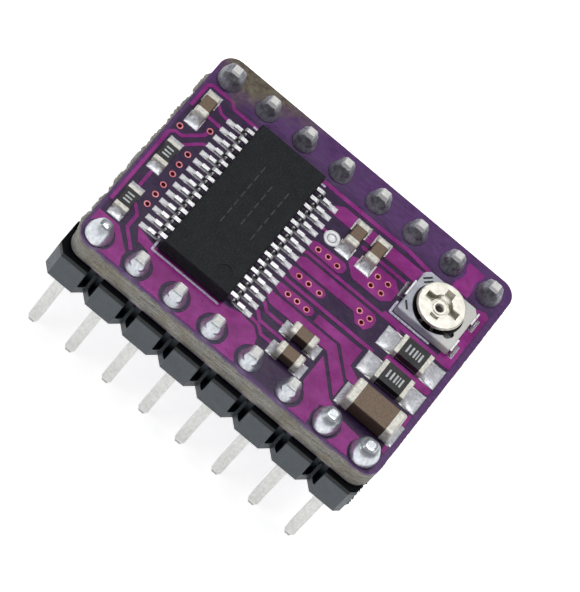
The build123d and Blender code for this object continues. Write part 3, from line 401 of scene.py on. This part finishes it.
def matt(name, dark, light, rough=0.6, grain=0.25, depth=0.008):
    """A plain matt or semi-matt material with mottling and a fine grain."""
    s = Shader(name)
    base = s.ramp(s.noise(grain * 2.5, 4, 0.6), [(0.3, linear(*dark)), (0.7, linear(*light))])
    relief = s.bump(s.noise(grain * 0.5, 3, 0.6), depth)
    shine = s.ramp(s.noise(grain * 2, 2), [(0.3, rough - 0.06), (0.7, rough + 0.06)])
    return s.set(Base_Color=base, Roughness=shine, Normal=relief, IOR=1.5)


def ceramic_base():
    """Pale grey moulded base of the trimmer, lighter and creamier towards its right, with painted shade
    inside its round recess.
    """
    s = Shader("ceramic_base")
    base = s.ramp(s.noise(0.5, 4, 0.6), [(0.3, linear(164, 167, 178)), (0.7, linear(198, 200, 210))])
    half = (TRIMMER_HIGH - TRIMMER_LOW) / 2
    middle = (TRIMMER_HIGH + TRIMMER_LOW) / 2
    # Painted shade: where the base lies below its top and inside its rim, in the round recess, it is painted
    # near black.
    low = s.band(s.axis("Z"), RECESS_SHADE_BAND, TRIMMER_HIGH.z)
    for name, centre, reach in (("X", middle.x, half.x), ("Y", middle.y, half.y)):
        inner = s.band(s.away(name, centre), BASE_RIM_BAND, reach)
        low = s.math(low, inner, "MULTIPLY")
    # The base turns lighter and creamier towards its right.
    creamy_right = s.band(s.axis("X"), BASE_CREAM_BAND, middle.x)
    base = s.mix(s.math(creamy_right, 0.7, "MULTIPLY"), base, linear(232, 230, 220))
    base = s.mix(low, base, linear(12, 12, 13))
    relief = s.bump(s.noise(0.15, 3), 0.012)
    return s.set(Base_Color=base, Roughness=0.5, Normal=relief)


def capacitor_ceramic():
    """Brown sintered ceramic with a fine grain, with painted shade down its sides."""
    s = Shader("capacitor_ceramic")
    base = s.ramp(s.noise(0.08, 4, 0.7), [(0.3, linear(94, 75, 57)), (0.7, linear(134, 112, 90))])
    upright = s.node("ShaderNodeSeparateXYZ")
    s.join(s.node("ShaderNodeNewGeometry").outputs["Normal"], upright.inputs[0])
    side = s.between(upright.outputs["Z"], 0.85, 0.4)
    # Painted shade: faces that turn sideways are darkened, as the sides lie away from the light.
    base = s.mix(s.math(side, 0.75, "MULTIPLY"), base, linear(38, 27, 18))
    return s.set(Base_Color=base, Roughness=0.5, Normal=s.bump(s.noise(0.09, 3, 0.6), 0.012))


def silkscreen_ink():
    """White board ink, thin and patchy."""
    s = Shader("silkscreen_ink")
    patchy = s.ramp(s.noise(0.13, 3, 0.7), [(0.36, 0.0), (0.6, 1.0)])
    base = s.mix(patchy, linear(164, 152, 182), linear(222, 218, 234))
    return s.set(Base_Color=base, Roughness=0.6, Normal=s.bump(patchy, 0.01))


MATERIALS = {
    "laminate": laminate_edge(),
    "purple_mask": purple_mask(),
    "silkscreen": silkscreen_ink(),
    "header_plastic": header_plastic(),
    "moulding": moulding(),
    "copper": bright_metal("copper", (186, 96, 112), (226, 150, 158), 0.45, 0.006, metallic=0.7),
    "plated_copper": bright_metal("plated_copper", (176, 174, 172), (214, 212, 208), 0.34, 0.006),
    "pin_metal": pin_metal(),
    "solder": bright_metal("solder", (178, 180, 184), (226, 228, 232), 0.26, 0.02),
    "tinned_lead": lead_metal(),
    "silicon": bright_metal("silicon", (70, 70, 82), (92, 92, 106), 0.2, 0.002),
    "die_attach": matt("die_attach", (130, 130, 132), (150, 150, 152)),
    "gold_wire": bright_metal("gold_wire", (214, 168, 84), (236, 196, 112), 0.25, 0.002),
    "trimmer_ceramic": ceramic_base(),
    "resistive_film": matt("resistive_film", (14, 14, 16), (26, 26, 28), 0.5),
    "rotor_metal": bright_metal("rotor_metal", (226, 222, 210), (248, 245, 236), 0.46, 0.008, grain=0.4),
    "spring_metal": bright_metal("spring_metal", (180, 176, 166), (214, 210, 200), 0.3, 0.004),
    "alumina": matt("alumina", (214, 212, 206), (234, 232, 226), 0.6),
    "resistor_overcoat": matt("resistor_overcoat", (16, 16, 17), (38, 38, 39), 0.5, 0.2, 0.014),
    "component_terminal": bright_metal(
        "component_terminal", (196, 193, 182), (240, 238, 228), 0.5, 0.016, grain=0.2, metallic=0.3,
    ),
    "capacitor_ceramic": capacitor_ceramic(),
}
SOLDER = {
    "front": hand_solder("front_pin_solder", (182, 186, 192), (226, 230, 234), 0.32, 0.8),
    "rear": hand_solder("rear_pin_solder", (104, 104, 112), (176, 176, 184), 0.4, 0.25, front_shade=0.7),
    "component": hand_solder("component_fillet", (180, 182, 188), (244, 244, 248), 0.4, 0.3),
    "lead": hand_solder("lead_fillet", (228, 228, 234), (252, 252, 254), 0.45, 0.1),
}
MARK_INK = matt("mark_ink", (176, 178, 180), (214, 216, 218), 0.6, 0.1)
FAINT_INK = matt("faint_ink", (44, 46, 50), (66, 69, 74), 0.7, 0.08)
FIBRE = fibre()


def dress_cad_nodes():
    """Gives every CAD node the material of its slot."""
    for entry in frame["record"]["subparts"]:
        node = frame["nodes"][entry["node"]]
        node.data.materials.clear()
        node.data.materials.append(MATERIALS[entry["material_slot"]])


# ---- mesh helpers -------------------------------------------------------------------------------


def add_piece(name, shape, material, smooth=True):
    """Makes a closed mesh piece that rides on the board."""
    verts, faces = shape
    mesh = bpy.data.meshes.new(name)
    mesh.from_pydata([tuple(v) for v in verts], [], faces)
    shell = bmesh.new()
    shell.from_mesh(mesh)
    bmesh.ops.recalc_face_normals(shell, faces=shell.faces)
    shell.to_mesh(mesh)
    shell.free()
    for polygon in mesh.polygons:
        polygon.use_smooth = smooth
    mesh.materials.append(material)
    piece = bpy.data.objects.new(name, mesh)
    bpy.context.scene.collection.objects.link(piece)
    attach(piece, "module")
    return piece


def loft(rings):
    """A closed form through rings of points, with a flat cap at each end."""
    count = len(rings[0])
    verts = [point for ring in rings for point in ring]
    faces = []
    for level in range(len(rings) - 1):
        for i in range(count):
            a, b = level * count + i, level * count + (i + 1) % count
            faces.append((a, b, b + count, a + count))
    faces.append(tuple(range(count)))
    faces.append(tuple(range(len(verts) - count, len(verts))))
    return verts, faces


def merged(shapes):
    """Several shapes as one."""
    verts, faces = [], []
    for shape_verts, shape_faces in shapes:
        start = len(verts)
        verts += shape_verts
        faces += [tuple(start + i for i in face) for face in shape_faces]
    return verts, faces


def blend(a, b, share):
    """The value at a share of the way from one value to another."""
    return a + (b - a) * share


def ease(t):
    """0 to 1 with a soft start and end."""
    t = min(1, max(0, t))
    return t * t * (3 - 2 * t)


def ripple(point, size, seed):
    """Smooth noise from -1 to 1 with features of a size in metres."""
    return noise.noise(Vector(point) / size + Vector((seed * 7.3, seed * 3.1, seed * 5.7)))


# ---- solder on the pins -------------------------------------------------------------------------

JOINT_SIDES = 40
JOINT_STEPS = 16
# Radius of the solder in a hole, and round a pin at the top of a joint.
HOLE_STEM = 0.47 * MM
PIN_COVER = 0.37 * MM
# How uneven a joint is, as a share of its radius: on its ring, low down, further up and where it closes.
RING_WOBBLE = 0.02
FOOT_WOBBLE = 0.07
TOP_WOBBLE = 0.015
CLOSING_WOBBLE = 0.03
# How square a joint gets round its pin where it stays round, against 1 elsewhere.
ROUND_TOP = 0.25

# Radius on the board and height in millimetres, then fullness, from 0, hollow, to 1, domed.
FRONT_JOINTS = [
    (0.79, 1.1, 0.62), (0.7, 0.82, 0.5), (0.7, 0.84, 0.42), (0.71, 0.84, 0.48),
    (0.7, 0.82, 0.42), (0.71, 0.86, 0.5), (0.77, 1.1, 0.92), (0.79, 1.12, 1.0),
]
REAR_JOINTS = [
    (0.75, 0.92, 0.86), (0.7, 0.84, 0.6), (0.7, 0.82, 0.66), (0.71, 0.86, 0.58),
    (0.7, 0.82, 0.66), (0.71, 0.84, 0.6), (0.7, 0.86, 0.76), (0.72, 0.88, 0.82),
]
# From this fullness up, a joint stays round to its top.
DOMED = 0.9
# The bend in a joint's side: its share of the way from pin to foot, and its share of the height.
HOLLOW_BEND = (0.12, 0.14)
DOMED_BEND = (1.04, 0.8)
# Levels that close a joint: radius and height in millimetres, the collar's height from the joint's top.
COLLAR = [(0.33, 0.14), (0.3, 0.16), (0.2, 0.16)]
COVERED_TOP = [(0.345, 1.15), (0.315, 1.2), (0.26, 1.245), (0.16, 1.275), (0.06, 1.284)]


def joint_ring(x, y, radius, z, squareness, wobble, seed):
    """One level of a joint: a circle at the foot that turns into a rounded square round the pin."""
    power = 2 + 4 * squareness
    ring = []
    for i in range(JOINT_SIDES):
        angle = 2 * math.pi * i / JOINT_SIDES
        c, s = math.cos(angle), math.sin(angle)
        reach = radius * (abs(c) ** power + abs(s) ** power) ** (-1 / power)
        reach *= 1 + wobble * ripple((c, s, z / MM), 0.9, seed)
        ring.append((x + reach * c, y + reach * s, z))
    return ring


def joint_shape(x, y, radius, height, fullness, covered, seed):
    """A solder joint: a stem in the plated hole, a foot on its ring, and a climb round the pin."""
    foot = Vector((radius * MM, 0))
    top = Vector((PIN_COVER, height * MM))
    hollow = Vector((blend(top.x, foot.x, HOLLOW_BEND[0]), HOLLOW_BEND[1] * top.y))
    domed = Vector((foot.x * DOMED_BEND[0], DOMED_BEND[1] * top.y))
    bend = hollow.lerp(domed, fullness)
    square = ROUND_TOP if covered or fullness >= DOMED else 1.0
    collar = [(reach, height + rise) for reach, rise in COLLAR]
    rings = [joint_ring(x, y, HOLE_STEM, HOLE_BOTTOM, 0, 0, seed)]
    rings.append(joint_ring(x, y, HOLE_STEM, PAD_TOP, 0, 0, seed))
    rings.append(joint_ring(x, y, foot.x, PAD_TOP, 0, RING_WOBBLE, seed))
    for step in range(1, JOINT_STEPS + 1):
        t = step / JOINT_STEPS
        place = foot * (1 - t) ** 2 + bend * 2 * t * (1 - t) + top * t ** 2
        squareness = square * ease(2 * t - 1)
        wobble = FOOT_WOBBLE * (1 - t) + TOP_WOBBLE
        rings.append(joint_ring(x, y, place.x, PAD_TOP + place.y, squareness, wobble, seed))
    for reach, level in COVERED_TOP if covered else collar:
        rings.append(joint_ring(x, y, reach * MM, PAD_TOP + level * MM, square, CLOSING_WOBBLE, seed))
    return loft(rings)


def add_pin_solder():
    """The joints of both header rows; the solder covers the first front pin's end."""
    for row, joints, covered in (("front", FRONT_JOINTS, (0,)), ("rear", REAR_JOINTS, ())):
        shapes = []
        for i, (radius, height, fullness) in enumerate(joints):
            shapes.append(joint_shape(PIN_X[i], PIN_ROWS[row], radius, height, fullness, i in covered, i + 1))
        piece = add_piece(f"{row}_pin_solder", merged(shapes), SOLDER[row])
        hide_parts(f"{row}_header_solder")


# ---- solder on the components -------------------------------------------------------------------

# For each small component: the outer end of its pads from its centre, and their width, in millimetres.
COMPONENT_PADS = {
    "sense_resistor_a": (1.95, 1.4),
    "sense_resistor_b": (1.95, 1.4),
    "upper_resistor": (1.25, 0.85),
    "lower_resistor": (1.25, 0.85),
    "bulk_capacitor": (1.92, 1.5),
    "charge_pump_capacitor": (1.2, 0.92),
    "flying_capacitor": (1.17, 0.92),
    "motor_supply_capacitor": (1.28, 0.95),
    "reference_capacitor": (1.28, 0.95),
    "regulator_capacitor": (1.32, 0.9),
}
FILLET_ACROSS = 18
FILLET_ALONG = 16
# Heights of the solder in millimetres: over the pad, at its border, at its outer corners, and at least.
FILLET_FILM = 0.05
FILLET_BORDER = 0.006
FILLET_CORNER = 0.025
FILLET_THINNEST = 0.004
# How far a fillet starts inside the component's end, in millimetres, then shares of the component's size.
FILLET_INSIDE = 0.06
FILLET_HALF_END = 0.44
FILLET_CLIMB = 0.62
# How soon a fillet widens to its pad, and the height and size of the waves on it.
FILLET_FLARE = 1.7
FILLET_WAVE = 0.35 * FILLET_FILM
FILLET_WAVE_SIZE = 0.45 * MM


def fillet_shape(centre, out, start, end, half_end, half_pad, climb, seed):
    """A solder fillet from the end of a component down to the outer edge of its pad."""
    side = Vector((-out.y, out.x, 0))
    tops, base = [], []
    for i in range(FILLET_ALONG + 1):
        v = i / FILLET_ALONG
        half = blend(half_end, half_pad, ease(v * FILLET_FLARE))
        for j in range(FILLET_ACROSS + 1):
            u = 2 * j / FILLET_ACROSS - 1
            place = centre + out * blend(start, end, v) * MM + side * u * half * MM
            place.z = PAD_TOP
            base.append(place)
            # Full in the middle, down to nothing at the sides and the outer end, with a hollow climb.
            inside = (1 - abs(u) ** 5) * (1 - v ** 7)
            hollow = climb * (1 - v) ** 2.8 * (1 - abs(u) ** 2.6)
            rough = FILLET_WAVE * ripple(place, FILLET_WAVE_SIZE, seed)
            corner = FILLET_CORNER * (abs(u) * v) ** 6
            lift = FILLET_BORDER + inside * (FILLET_FILM + hollow + rough) + corner
            tops.append(place + Vector((0, 0, max(FILLET_THINNEST, lift) * MM)))
    width = FILLET_ACROSS + 1
    faces = []
    for i in range(FILLET_ALONG):
        for j in range(FILLET_ACROSS):
            a = i * width + j
            faces.append((a, a + 1, a + 1 + width, a + width))
    border = list(range(width)) + [i * width + width - 1 for i in range(1, FILLET_ALONG + 1)]
    border += [FILLET_ALONG * width + j for j in range(width - 2, -1, -1)]
    border += [i * width for i in range(FILLET_ALONG - 1, 0, -1)]
    below = {index: len(tops) + order for order, index in enumerate(border)}
    for a, b in zip(border, border[1:] + border[:1]):
        faces.append((a, b, below[b], below[a]))
    faces.append(tuple(below[index] for index in border))
    return tops + [base[index] for index in border], faces


def add_component_solder():
    """A fillet at both ends of every small component."""
    shapes = []
    for seed, (name, (pad_end, pad_width)) in enumerate(COMPONENT_PADS.items()):
        low, high = corners(f"{name}_terminals")
        centre = (low + high) / 2
        size = (high - low) / MM
        lengthwise = Vector((1, 0, 0)) if size.x > size.y else Vector((0, 1, 0))
        length, width = max(size.x, size.y), min(size.x, size.y)
        for way in (-1, 1):
            shapes.append(fillet_shape(
                centre, way * lengthwise, length / 2 - FILLET_INSIDE, pad_end, width * FILLET_HALF_END,
                pad_width / 2, FILLET_CLIMB * size.z, seed + (way + 1) * 10,
            ))
    piece = add_piece("component_fillets", merged(shapes), SOLDER["component"])
    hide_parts("component_solder")


# Sections of a chip lead's solder: distance from the chip's middle, half width and height, in millimetres.
LEAD_SECTIONS = [
    (2.52, 0.1, 0.015), (2.58, 0.14, 0.05), (2.75, 0.155, 0.08), (3.0, 0.15, 0.12), (3.2, 0.135, 0.16),
    (3.27, 0.125, 0.155), (3.34, 0.125, 0.11), (3.44, 0.145, 0.075), (3.58, 0.165, 0.055),
    (3.7, 0.172, 0.035), (3.745, 0.165, 0.01),
]
LEAD_ARCH = 8
# How much the height varies, as a share of it, and the least thickness in millimetres.
LEAD_SWELL = 0.12
LEAD_FILM = 0.004


def add_lead_solder():
    """Solder under and round every lead's foot, flaring out to the outer end of its pad."""
    pitch = (LEADS_HIGH.y - LEADS_LOW.y - LEAD_WIDTH) / (LEAD_COUNT - 1)
    shapes = []
    for way in (-1, 1):
        for i in range(LEAD_COUNT):
            y = LEADS_LOW.y + LEAD_WIDTH / 2 + i * pitch
            rings = []
            for reach, half, height in LEAD_SECTIONS:
                swell = 1 + LEAD_SWELL * ripple((reach * way, y / MM, 0), 0.5, 3)
                x = CHIP_CENTRE.x + way * reach * MM
                ring = []
                for k in range(LEAD_ARCH + 1):
                    u = 2 * k / LEAD_ARCH - 1
                    lift = height * swell * (1 - abs(u) ** 3)
                    ring.append((x, y + u * half * MM, PAD_TOP + (LEAD_FILM + lift) * MM))
                ring += [(x, y + half * MM, PAD_TOP), (x, y - half * MM, PAD_TOP)]
                rings.append(ring)
            shapes.append(loft(rings))
    low, high = corners("driver_chip_paddle")
    pad = [(low.x, low.y), (high.x, low.y), (high.x, high.y), (low.x, high.y)]
    shapes.append(loft([[(x, y, z) for x, y in pad] for z in (PAD_TOP, low.z)]))
    piece = add_piece("driver_chip_fillets", merged(shapes), SOLDER["lead"])
    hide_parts("driver_chip_solder")


# Profile of the solder on the test point: share of its ring's radius, and height in millimetres.
TEST_POINT_PROFILE = [
    (0.45, -1.3), (0.45, 0.0), (0.99, 0.0), (0.98, 0.03), (0.86, 0.05), (0.7, 0.05), (0.58, 0.03),
    (0.52, -0.03), (0.3, -0.05), (0.1, -0.055),
]
TEST_POINT_SIDES = 36


def add_test_point_solder():
    """Solder that fills the test point's hole to a shallow dish, with a raised rim on its ring."""
    low, high = corners("test_point")
    x, y = (low.x + high.x) / 2, (low.y + high.y) / 2
    ring_radius = (high.x - low.x) / 2
    angles = [2 * math.pi * i / TEST_POINT_SIDES for i in range(TEST_POINT_SIDES)]
    rings = []
    for share, lift in TEST_POINT_PROFILE:
        radius = share * ring_radius
        z = PAD_TOP + lift * MM
        rings.append([(x + radius * math.cos(a), y + radius * math.sin(a), z) for a in angles])
    add_piece("test_point_solder", loft(rings), SOLDER["lead"])


# ---- plain ink marks, with no letters or numbers ------------------------------------------------

# Share of a bar's shorter side that its corners lose, then millimetres of ink below and above a surface.
BAR_CUT = 0.22
INK_SINK = 0.004
RESISTOR_INK = 0.012
CHIP_INK = 0.004


def bar_shape(x, y, z, length, width, thickness):
    """A thin ink bar with cut corners, its middle at x and y, all in metres but the thickness."""
    cut = min(length, width) * BAR_CUT
    half_l, half_w = length / 2, width / 2
    outline = []
    for way in (1, -1):
        outline += [(way * half_l, way * (half_w - cut)), (way * (half_l - cut), way * half_w)]
        outline += [(way * (cut - half_l), way * half_w), (-way * half_l, way * (half_w - cut))]
    rings = []
    for level in (-INK_SINK * MM, thickness * MM):
        rings.append([(x + a, y + b, z + level) for a, b in outline])
    return loft(rings)


# Marks on a resistor: place along its length and the bar's width, in millimetres.
SENSE_MARKS = [(-0.42, 0.11), (-0.17, 0.11), (0.06, 0.11), (0.24, 0.07), (0.43, 0.11)]
SMALL_MARKS = [(-0.24, 0.1), (-0.02, 0.1), (0.22, 0.1)]
# For each resistor: its marks, and their height across it in millimetres.
RESISTOR_MARKS = {
    "sense_resistor_a": (SENSE_MARKS, 0.55),
    "sense_resistor_b": (SENSE_MARKS, 0.55),
    "upper_resistor": (SMALL_MARKS, 0.45),
    "lower_resistor": (SMALL_MARKS, 0.45),
}


def add_component_marks():
    """Plain bars where the resistors' printed values would be."""
    shapes = []
    for name, (marks, tall) in RESISTOR_MARKS.items():
        low, high = corners(f"{name}_overcoat")
        middle = (low + high) / 2
        lengthwise = high.x - low.x > high.y - low.y
        for place, width in marks:
            x = middle.x + (place * MM if lengthwise else 0)
            y = middle.y + (0 if lengthwise else place * MM)
            size = (width * MM, tall * MM) if lengthwise else (tall * MM, width * MM)
            shapes.append(bar_shape(x, y, high.z, *size, RESISTOR_INK))
    add_piece("resistor_marks", merged(shapes), MARK_INK, smooth=False)


# Rows of dashes on the chip: distance from its middle, then half the row's length, in millimetres.
CHIP_ROWS = [(-0.62, 2.3), (0.3, 1.5), (1.2, 1.7)]
CHIP_ROW_MIDDLE = 0.55
DASH_PITCH = 0.66
DASH_LENGTH = 0.46
DASH_WIDTH = 0.07


def add_chip_marks():
    """Faint rows of plain dashes where a chip's printed code would be."""
    shapes = []
    for across, half in CHIP_ROWS:
        count = int(2 * half / DASH_PITCH) + 1
        for i in range(count):
            along = CHIP_ROW_MIDDLE + (i - (count - 1) / 2) * DASH_PITCH
            x, y = CHIP_CENTRE.x + across * MM, CHIP_CENTRE.y + along * MM
            shapes.append(bar_shape(x, y, CHIP_HIGH.z, DASH_WIDTH * MM, DASH_LENGTH * MM, CHIP_INK))
    add_piece("driver_chip_marks", merged(shapes), FAINT_INK, smooth=False)


# ---- frayed edges -------------------------------------------------------------------------------

# What is frayed stays this far inside the CAD box.
BOX_CLEARANCE = 0.01 * MM

# Heights of the ragged strips on the left and the right edge, the steps along one, the steps that it takes
# to fade in at each end, how deep it is rooted, and where its shoulder lies as a share of its reach.
LEFT_FRINGE = BOARD_LOW.z + 0.55 * MM
RIGHT_FRINGE = BOARD_HIGH.z - 0.35 * MM
FRINGE_STEPS = 150
FRINGE_FADE = 8
FRINGE_ROOT = 0.03 * MM
FRINGE_SHOULDER = 0.6
FRINGE_SEED = 4

FIBRE_COUNT = 46
FIBRE_STEPS = 6
FIBRE_SIDES = 5
FIBRE_TAPER = 0.75

# Torn scraps and hairs at the header's end; a scrap's root is taller than wide, and its tip is smaller.
BURR_COUNT = 34
BURR_SIDES = 6
BURR_TALL = 1.6
BURR_TIP = 0.25
BURR_SEED = 9
HAIR_COUNT = 6
HAIR_THICKNESS = 0.035 * MM
HAIR_BOW = 0.04 * MM


def fringe_shape(x, way, y_start, y_end, reach, height, seed):
    """A ragged strip of glass fibre along a cut edge of the board."""
    rings = []
    for i in range(FRINGE_STEPS + 1):
        y = blend(y_start, y_end, i / FRINGE_STEPS)
        ends = ease(i / FRINGE_FADE) * ease((FRINGE_STEPS - i) / FRINGE_FADE)
        place = (0, y, 0)
        ragged = 0.72 + 0.5 * ripple(place, 0.9 * MM, seed) + 0.45 * ripple(place, 0.17 * MM, seed + 1)
        out = way * ends * reach * min(1, max(0.12, ragged))
        level = height + 0.12 * MM * ripple(place, 1.4 * MM, seed + 2)
        root, shoulder = x - way * FRINGE_ROOT, x + out * FRINGE_SHOULDER
        outline = [(root, 0.14), (shoulder, 0.07), (x + out, 0), (shoulder, -0.06), (root, -0.14)]
        rings.append([(across, y, level + lift * MM) for across, lift in outline])
    return loft(rings)


def fibre_shape(start, end, thickness, sag):
    """A thin tapering fibre between two points, bowed sideways."""
    along = (end - start).normalized()
    side = along.cross(Vector((0, 0, 1))).normalized()
    rise = side.cross(along)
    rings = []
    angles = [2 * math.pi * k / FIBRE_SIDES for k in range(FIBRE_SIDES)]
    for i in range(FIBRE_STEPS + 1):
        t = i / FIBRE_STEPS
        middle = start.lerp(end, t) + side * sag * math.sin(math.pi * t)
        radius = thickness / 2 * (1 - FIBRE_TAPER * t)
        rings.append([middle + side * radius * math.cos(a) + rise * radius * math.sin(a) for a in angles])
    return loft(rings)


def add_fringe():
    """Ragged strips along the two cut sides of the board, and loose fibres on the left one."""
    draws = random.Random(FRINGE_SEED)
    left, right = CAD_BOX[0][0], CAD_BOX[1][0]
    y_low, y_high = BOARD_LOW.y + 0.8 * MM, BOARD_HIGH.y - 0.9 * MM
    shapes = [
        fringe_shape(BOARD_LOW.x, -1, y_low, y_high, BOARD_LOW.x - left - BOX_CLEARANCE, LEFT_FRINGE, 1),
        fringe_shape(BOARD_HIGH.x, 1, y_low, y_high, right - BOARD_HIGH.x - BOX_CLEARANCE, RIGHT_FRINGE, 5),
    ]
    for _ in range(FIBRE_COUNT):
        y = draws.uniform(y_low, y_high)
        out = draws.uniform(0.5, 1) * (BOARD_LOW.x - left - 2 * BOX_CLEARANCE)
        start = Vector((BOARD_LOW.x + 0.04 * MM, y, LEFT_FRINGE + draws.uniform(-0.4, 0.6) * MM))
        end_y = y + draws.uniform(-0.5, 0.5) * MM
        end = Vector((BOARD_LOW.x - out, end_y, start.z + draws.uniform(-0.2, 0.2) * MM))
        thickness = draws.uniform(0.02, 0.045) * MM
        shapes.append(fibre_shape(start, end, thickness, draws.uniform(-0.05, 0.05) * MM))
    add_piece("board_edge_fibres", merged(shapes), FIBRE)


def add_header_burr():
    """Torn plastic where the front header was snapped from a longer strip."""
    draws = random.Random(BURR_SEED)
    low, high = HEADER_LOW, HEADER_HIGH
    limit = CAD_BOX[1][0] - BOX_CLEARANCE
    shapes = []
    for _ in range(BURR_COUNT):
        y = draws.uniform(low.y + 0.5 * MM, low.y + 2.0 * MM)
        z = draws.uniform(low.z + 0.15 * MM, high.z - 0.1 * MM)
        root = Vector((high.x - 0.03 * MM, y, z))
        size = draws.uniform(0.08, 0.24) * MM
        tip_x = min(limit, high.x + draws.uniform(0.02, 0.13) * MM)
        tip_y = y + draws.uniform(-0.1, 0.1) * MM
        tip = Vector((tip_x, tip_y, z + draws.uniform(-0.12, 0.12) * MM))
        foot = []
        for k in range(BURR_SIDES):
            angle = 2 * math.pi * k / BURR_SIDES + draws.uniform(-0.3, 0.3)
            out = Vector((0, math.cos(angle), BURR_TALL * math.sin(angle)))
            foot.append(root + out * size * draws.uniform(0.5, 1.0))
        peak = [tip + (point - root) * BURR_TIP for point in foot]
        shapes.append(loft([foot, peak]))
    for _ in range(HAIR_COUNT):
        start_y = draws.uniform(low.y + 0.6 * MM, low.y + 1.6 * MM)
        start = Vector((high.x + 0.02 * MM, start_y, draws.uniform(high.z - 1.4 * MM, high.z - 0.2 * MM)))
        end_y = start.y + draws.uniform(-0.5, 0.3) * MM
        end = Vector((limit - 0.02 * MM, end_y, start.z + draws.uniform(-0.7, 0.2) * MM))
        shapes.append(fibre_shape(start, end, HAIR_THICKNESS, HAIR_BOW))
    plastic = MATERIALS["header_plastic"]
    add_piece("front_header_burr", merged(shapes), plastic, smooth=False)


# ---- camera, light and floor --------------------------------------------------------------------

CAMERA_TARGET = Vector((0.788, -1.729, 4.14)) * MM
CAMERA_DISTANCE = 276.3 * MM
CAMERA_AZIMUTH = -1.77
CAMERA_ELEVATION = 56.87
CAMERA_ROLL = 41.37
CAMERA_LENS = 322.14
CAMERA_SENSOR = 36
LAMP_TARGET = Vector((0, 0, 3)) * MM
FLOOR_SIZE = 4.0
FLOOR_CELLS = 24
FLOOR_GAP = 0.02 * MM
FLOOR_GLOW = 0.72
WORLD_STRENGTH = 0.6
WORLD_BELOW = (0.75, 0.77, 0.8, 1)
WORLD_ABOVE = (0.16, 0.165, 0.175, 1)


def toward(azimuth, elevation):
    """The unit vector towards an azimuth, from -Y round to +X, and an elevation."""
    a, e = math.radians(azimuth), math.radians(elevation)
    return Vector((math.sin(a) * math.cos(e), -math.cos(a) * math.cos(e), math.sin(e)))


def aim(item, place, target, roll=0.0):
    """Stands an object at a place, looking at a target, and rolls it about that line."""
    back = (place - target).normalized()
    right = Vector((0, 0, 1)).cross(back).normalized()
    up = back.cross(right)
    turn = Matrix((right, up, back)).transposed().to_4x4()
    item.matrix_world = Matrix.Translation(place) @ turn @ Matrix.Rotation(math.radians(roll), 4, "Z")


def add_camera():
    """A camera fitted to the photograph's view."""
    data = bpy.data.cameras.new("camera")
    data.lens = CAMERA_LENS
    data.sensor_width = CAMERA_SENSOR
    data.clip_start = 0.01
    camera = bpy.data.objects.new("camera", data)
    bpy.context.scene.collection.objects.link(camera)
    place = CAMERA_TARGET + toward(CAMERA_AZIMUTH, CAMERA_ELEVATION) * CAMERA_DISTANCE
    aim(camera, place, CAMERA_TARGET, CAMERA_ROLL)
    bpy.context.scene.camera = camera


def add_softbox(name, azimuth, elevation, distance, size, power):
    """A flat lamp that faces the object, with its distance and size in millimetres."""
    data = bpy.data.lights.new(name, "AREA")
    data.shape = "RECTANGLE"
    data.size, data.size_y = size[0] * MM, size[1] * MM
    data.energy = power
    lamp = bpy.data.objects.new(name, data)
    bpy.context.scene.collection.objects.link(lamp)
    aim(lamp, LAMP_TARGET + toward(azimuth, elevation) * distance * MM, LAMP_TARGET)


def add_floor():
    """A pale floor just under the pin tips, wide enough for a low view to stay on it."""
    s = Shader("floor_paper")
    base = s.mix(s.noise(12, 3), linear(250, 250, 250), linear(253, 253, 253))
    material = s.set(Base_Color=base, Roughness=0.9, Emission_Color=(1, 1, 1), Emission_Strength=FLOOR_GLOW)
    low = CAD_BOX[0][2] - FLOOR_GAP
    places = [(i / FLOOR_CELLS - 0.5) * FLOOR_SIZE for i in range(FLOOR_CELLS + 1)]
    verts = [(x, y, low) for x in places for y in places]
    faces = []
    row = FLOOR_CELLS + 1
    for i in range(FLOOR_CELLS):
        for j in range(FLOOR_CELLS):
            a = i * row + j
            faces.append((a, a + row, a + row + 1, a + 1))
    mesh = bpy.data.meshes.new("floor")
    mesh.from_pydata(verts, [], faces)
    mesh.materials.append(material)
    floor = bpy.data.objects.new("floor", mesh)
    bpy.context.scene.collection.objects.link(floor)


def set_world():
    """A studio that is bright near the floor and dim overhead."""
    world = bpy.data.worlds.new("studio")
    world.use_nodes = True
    tree = world.node_tree
    background = tree.nodes["Background"]
    place = tree.nodes.new("ShaderNodeTexCoord")
    split = tree.nodes.new("ShaderNodeSeparateXYZ")
    tree.links.new(place.outputs["Generated"], split.inputs[0])
    ramp = tree.nodes.new("ShaderNodeValToRGB")
    elements = ramp.color_ramp.elements
    elements[0].position, elements[0].color = 0.0, WORLD_BELOW
    elements[1].position, elements[1].color = 0.75, WORLD_ABOVE
    tree.links.new(split.outputs["Z"], ramp.inputs["Fac"])
    tree.links.new(ramp.outputs["Color"], background.inputs["Color"])
    background.inputs["Strength"].default_value = WORLD_STRENGTH
    bpy.context.scene.world = world


dress_cad_nodes()
add_pin_solder()
add_component_solder()
add_lead_solder()
add_test_point_solder()
add_component_marks()
add_chip_marks()
add_fringe()
add_header_burr()

add_camera()
add_floor()
set_world()
add_softbox("overhead", azimuth=150, elevation=80, distance=180, size=(100, 80), power=0.2)
add_softbox("front_left", azimuth=-55, elevation=30, distance=200, size=(120, 70), power=0.05)
bpy.context.scene.view_settings.view_transform = "Standard"
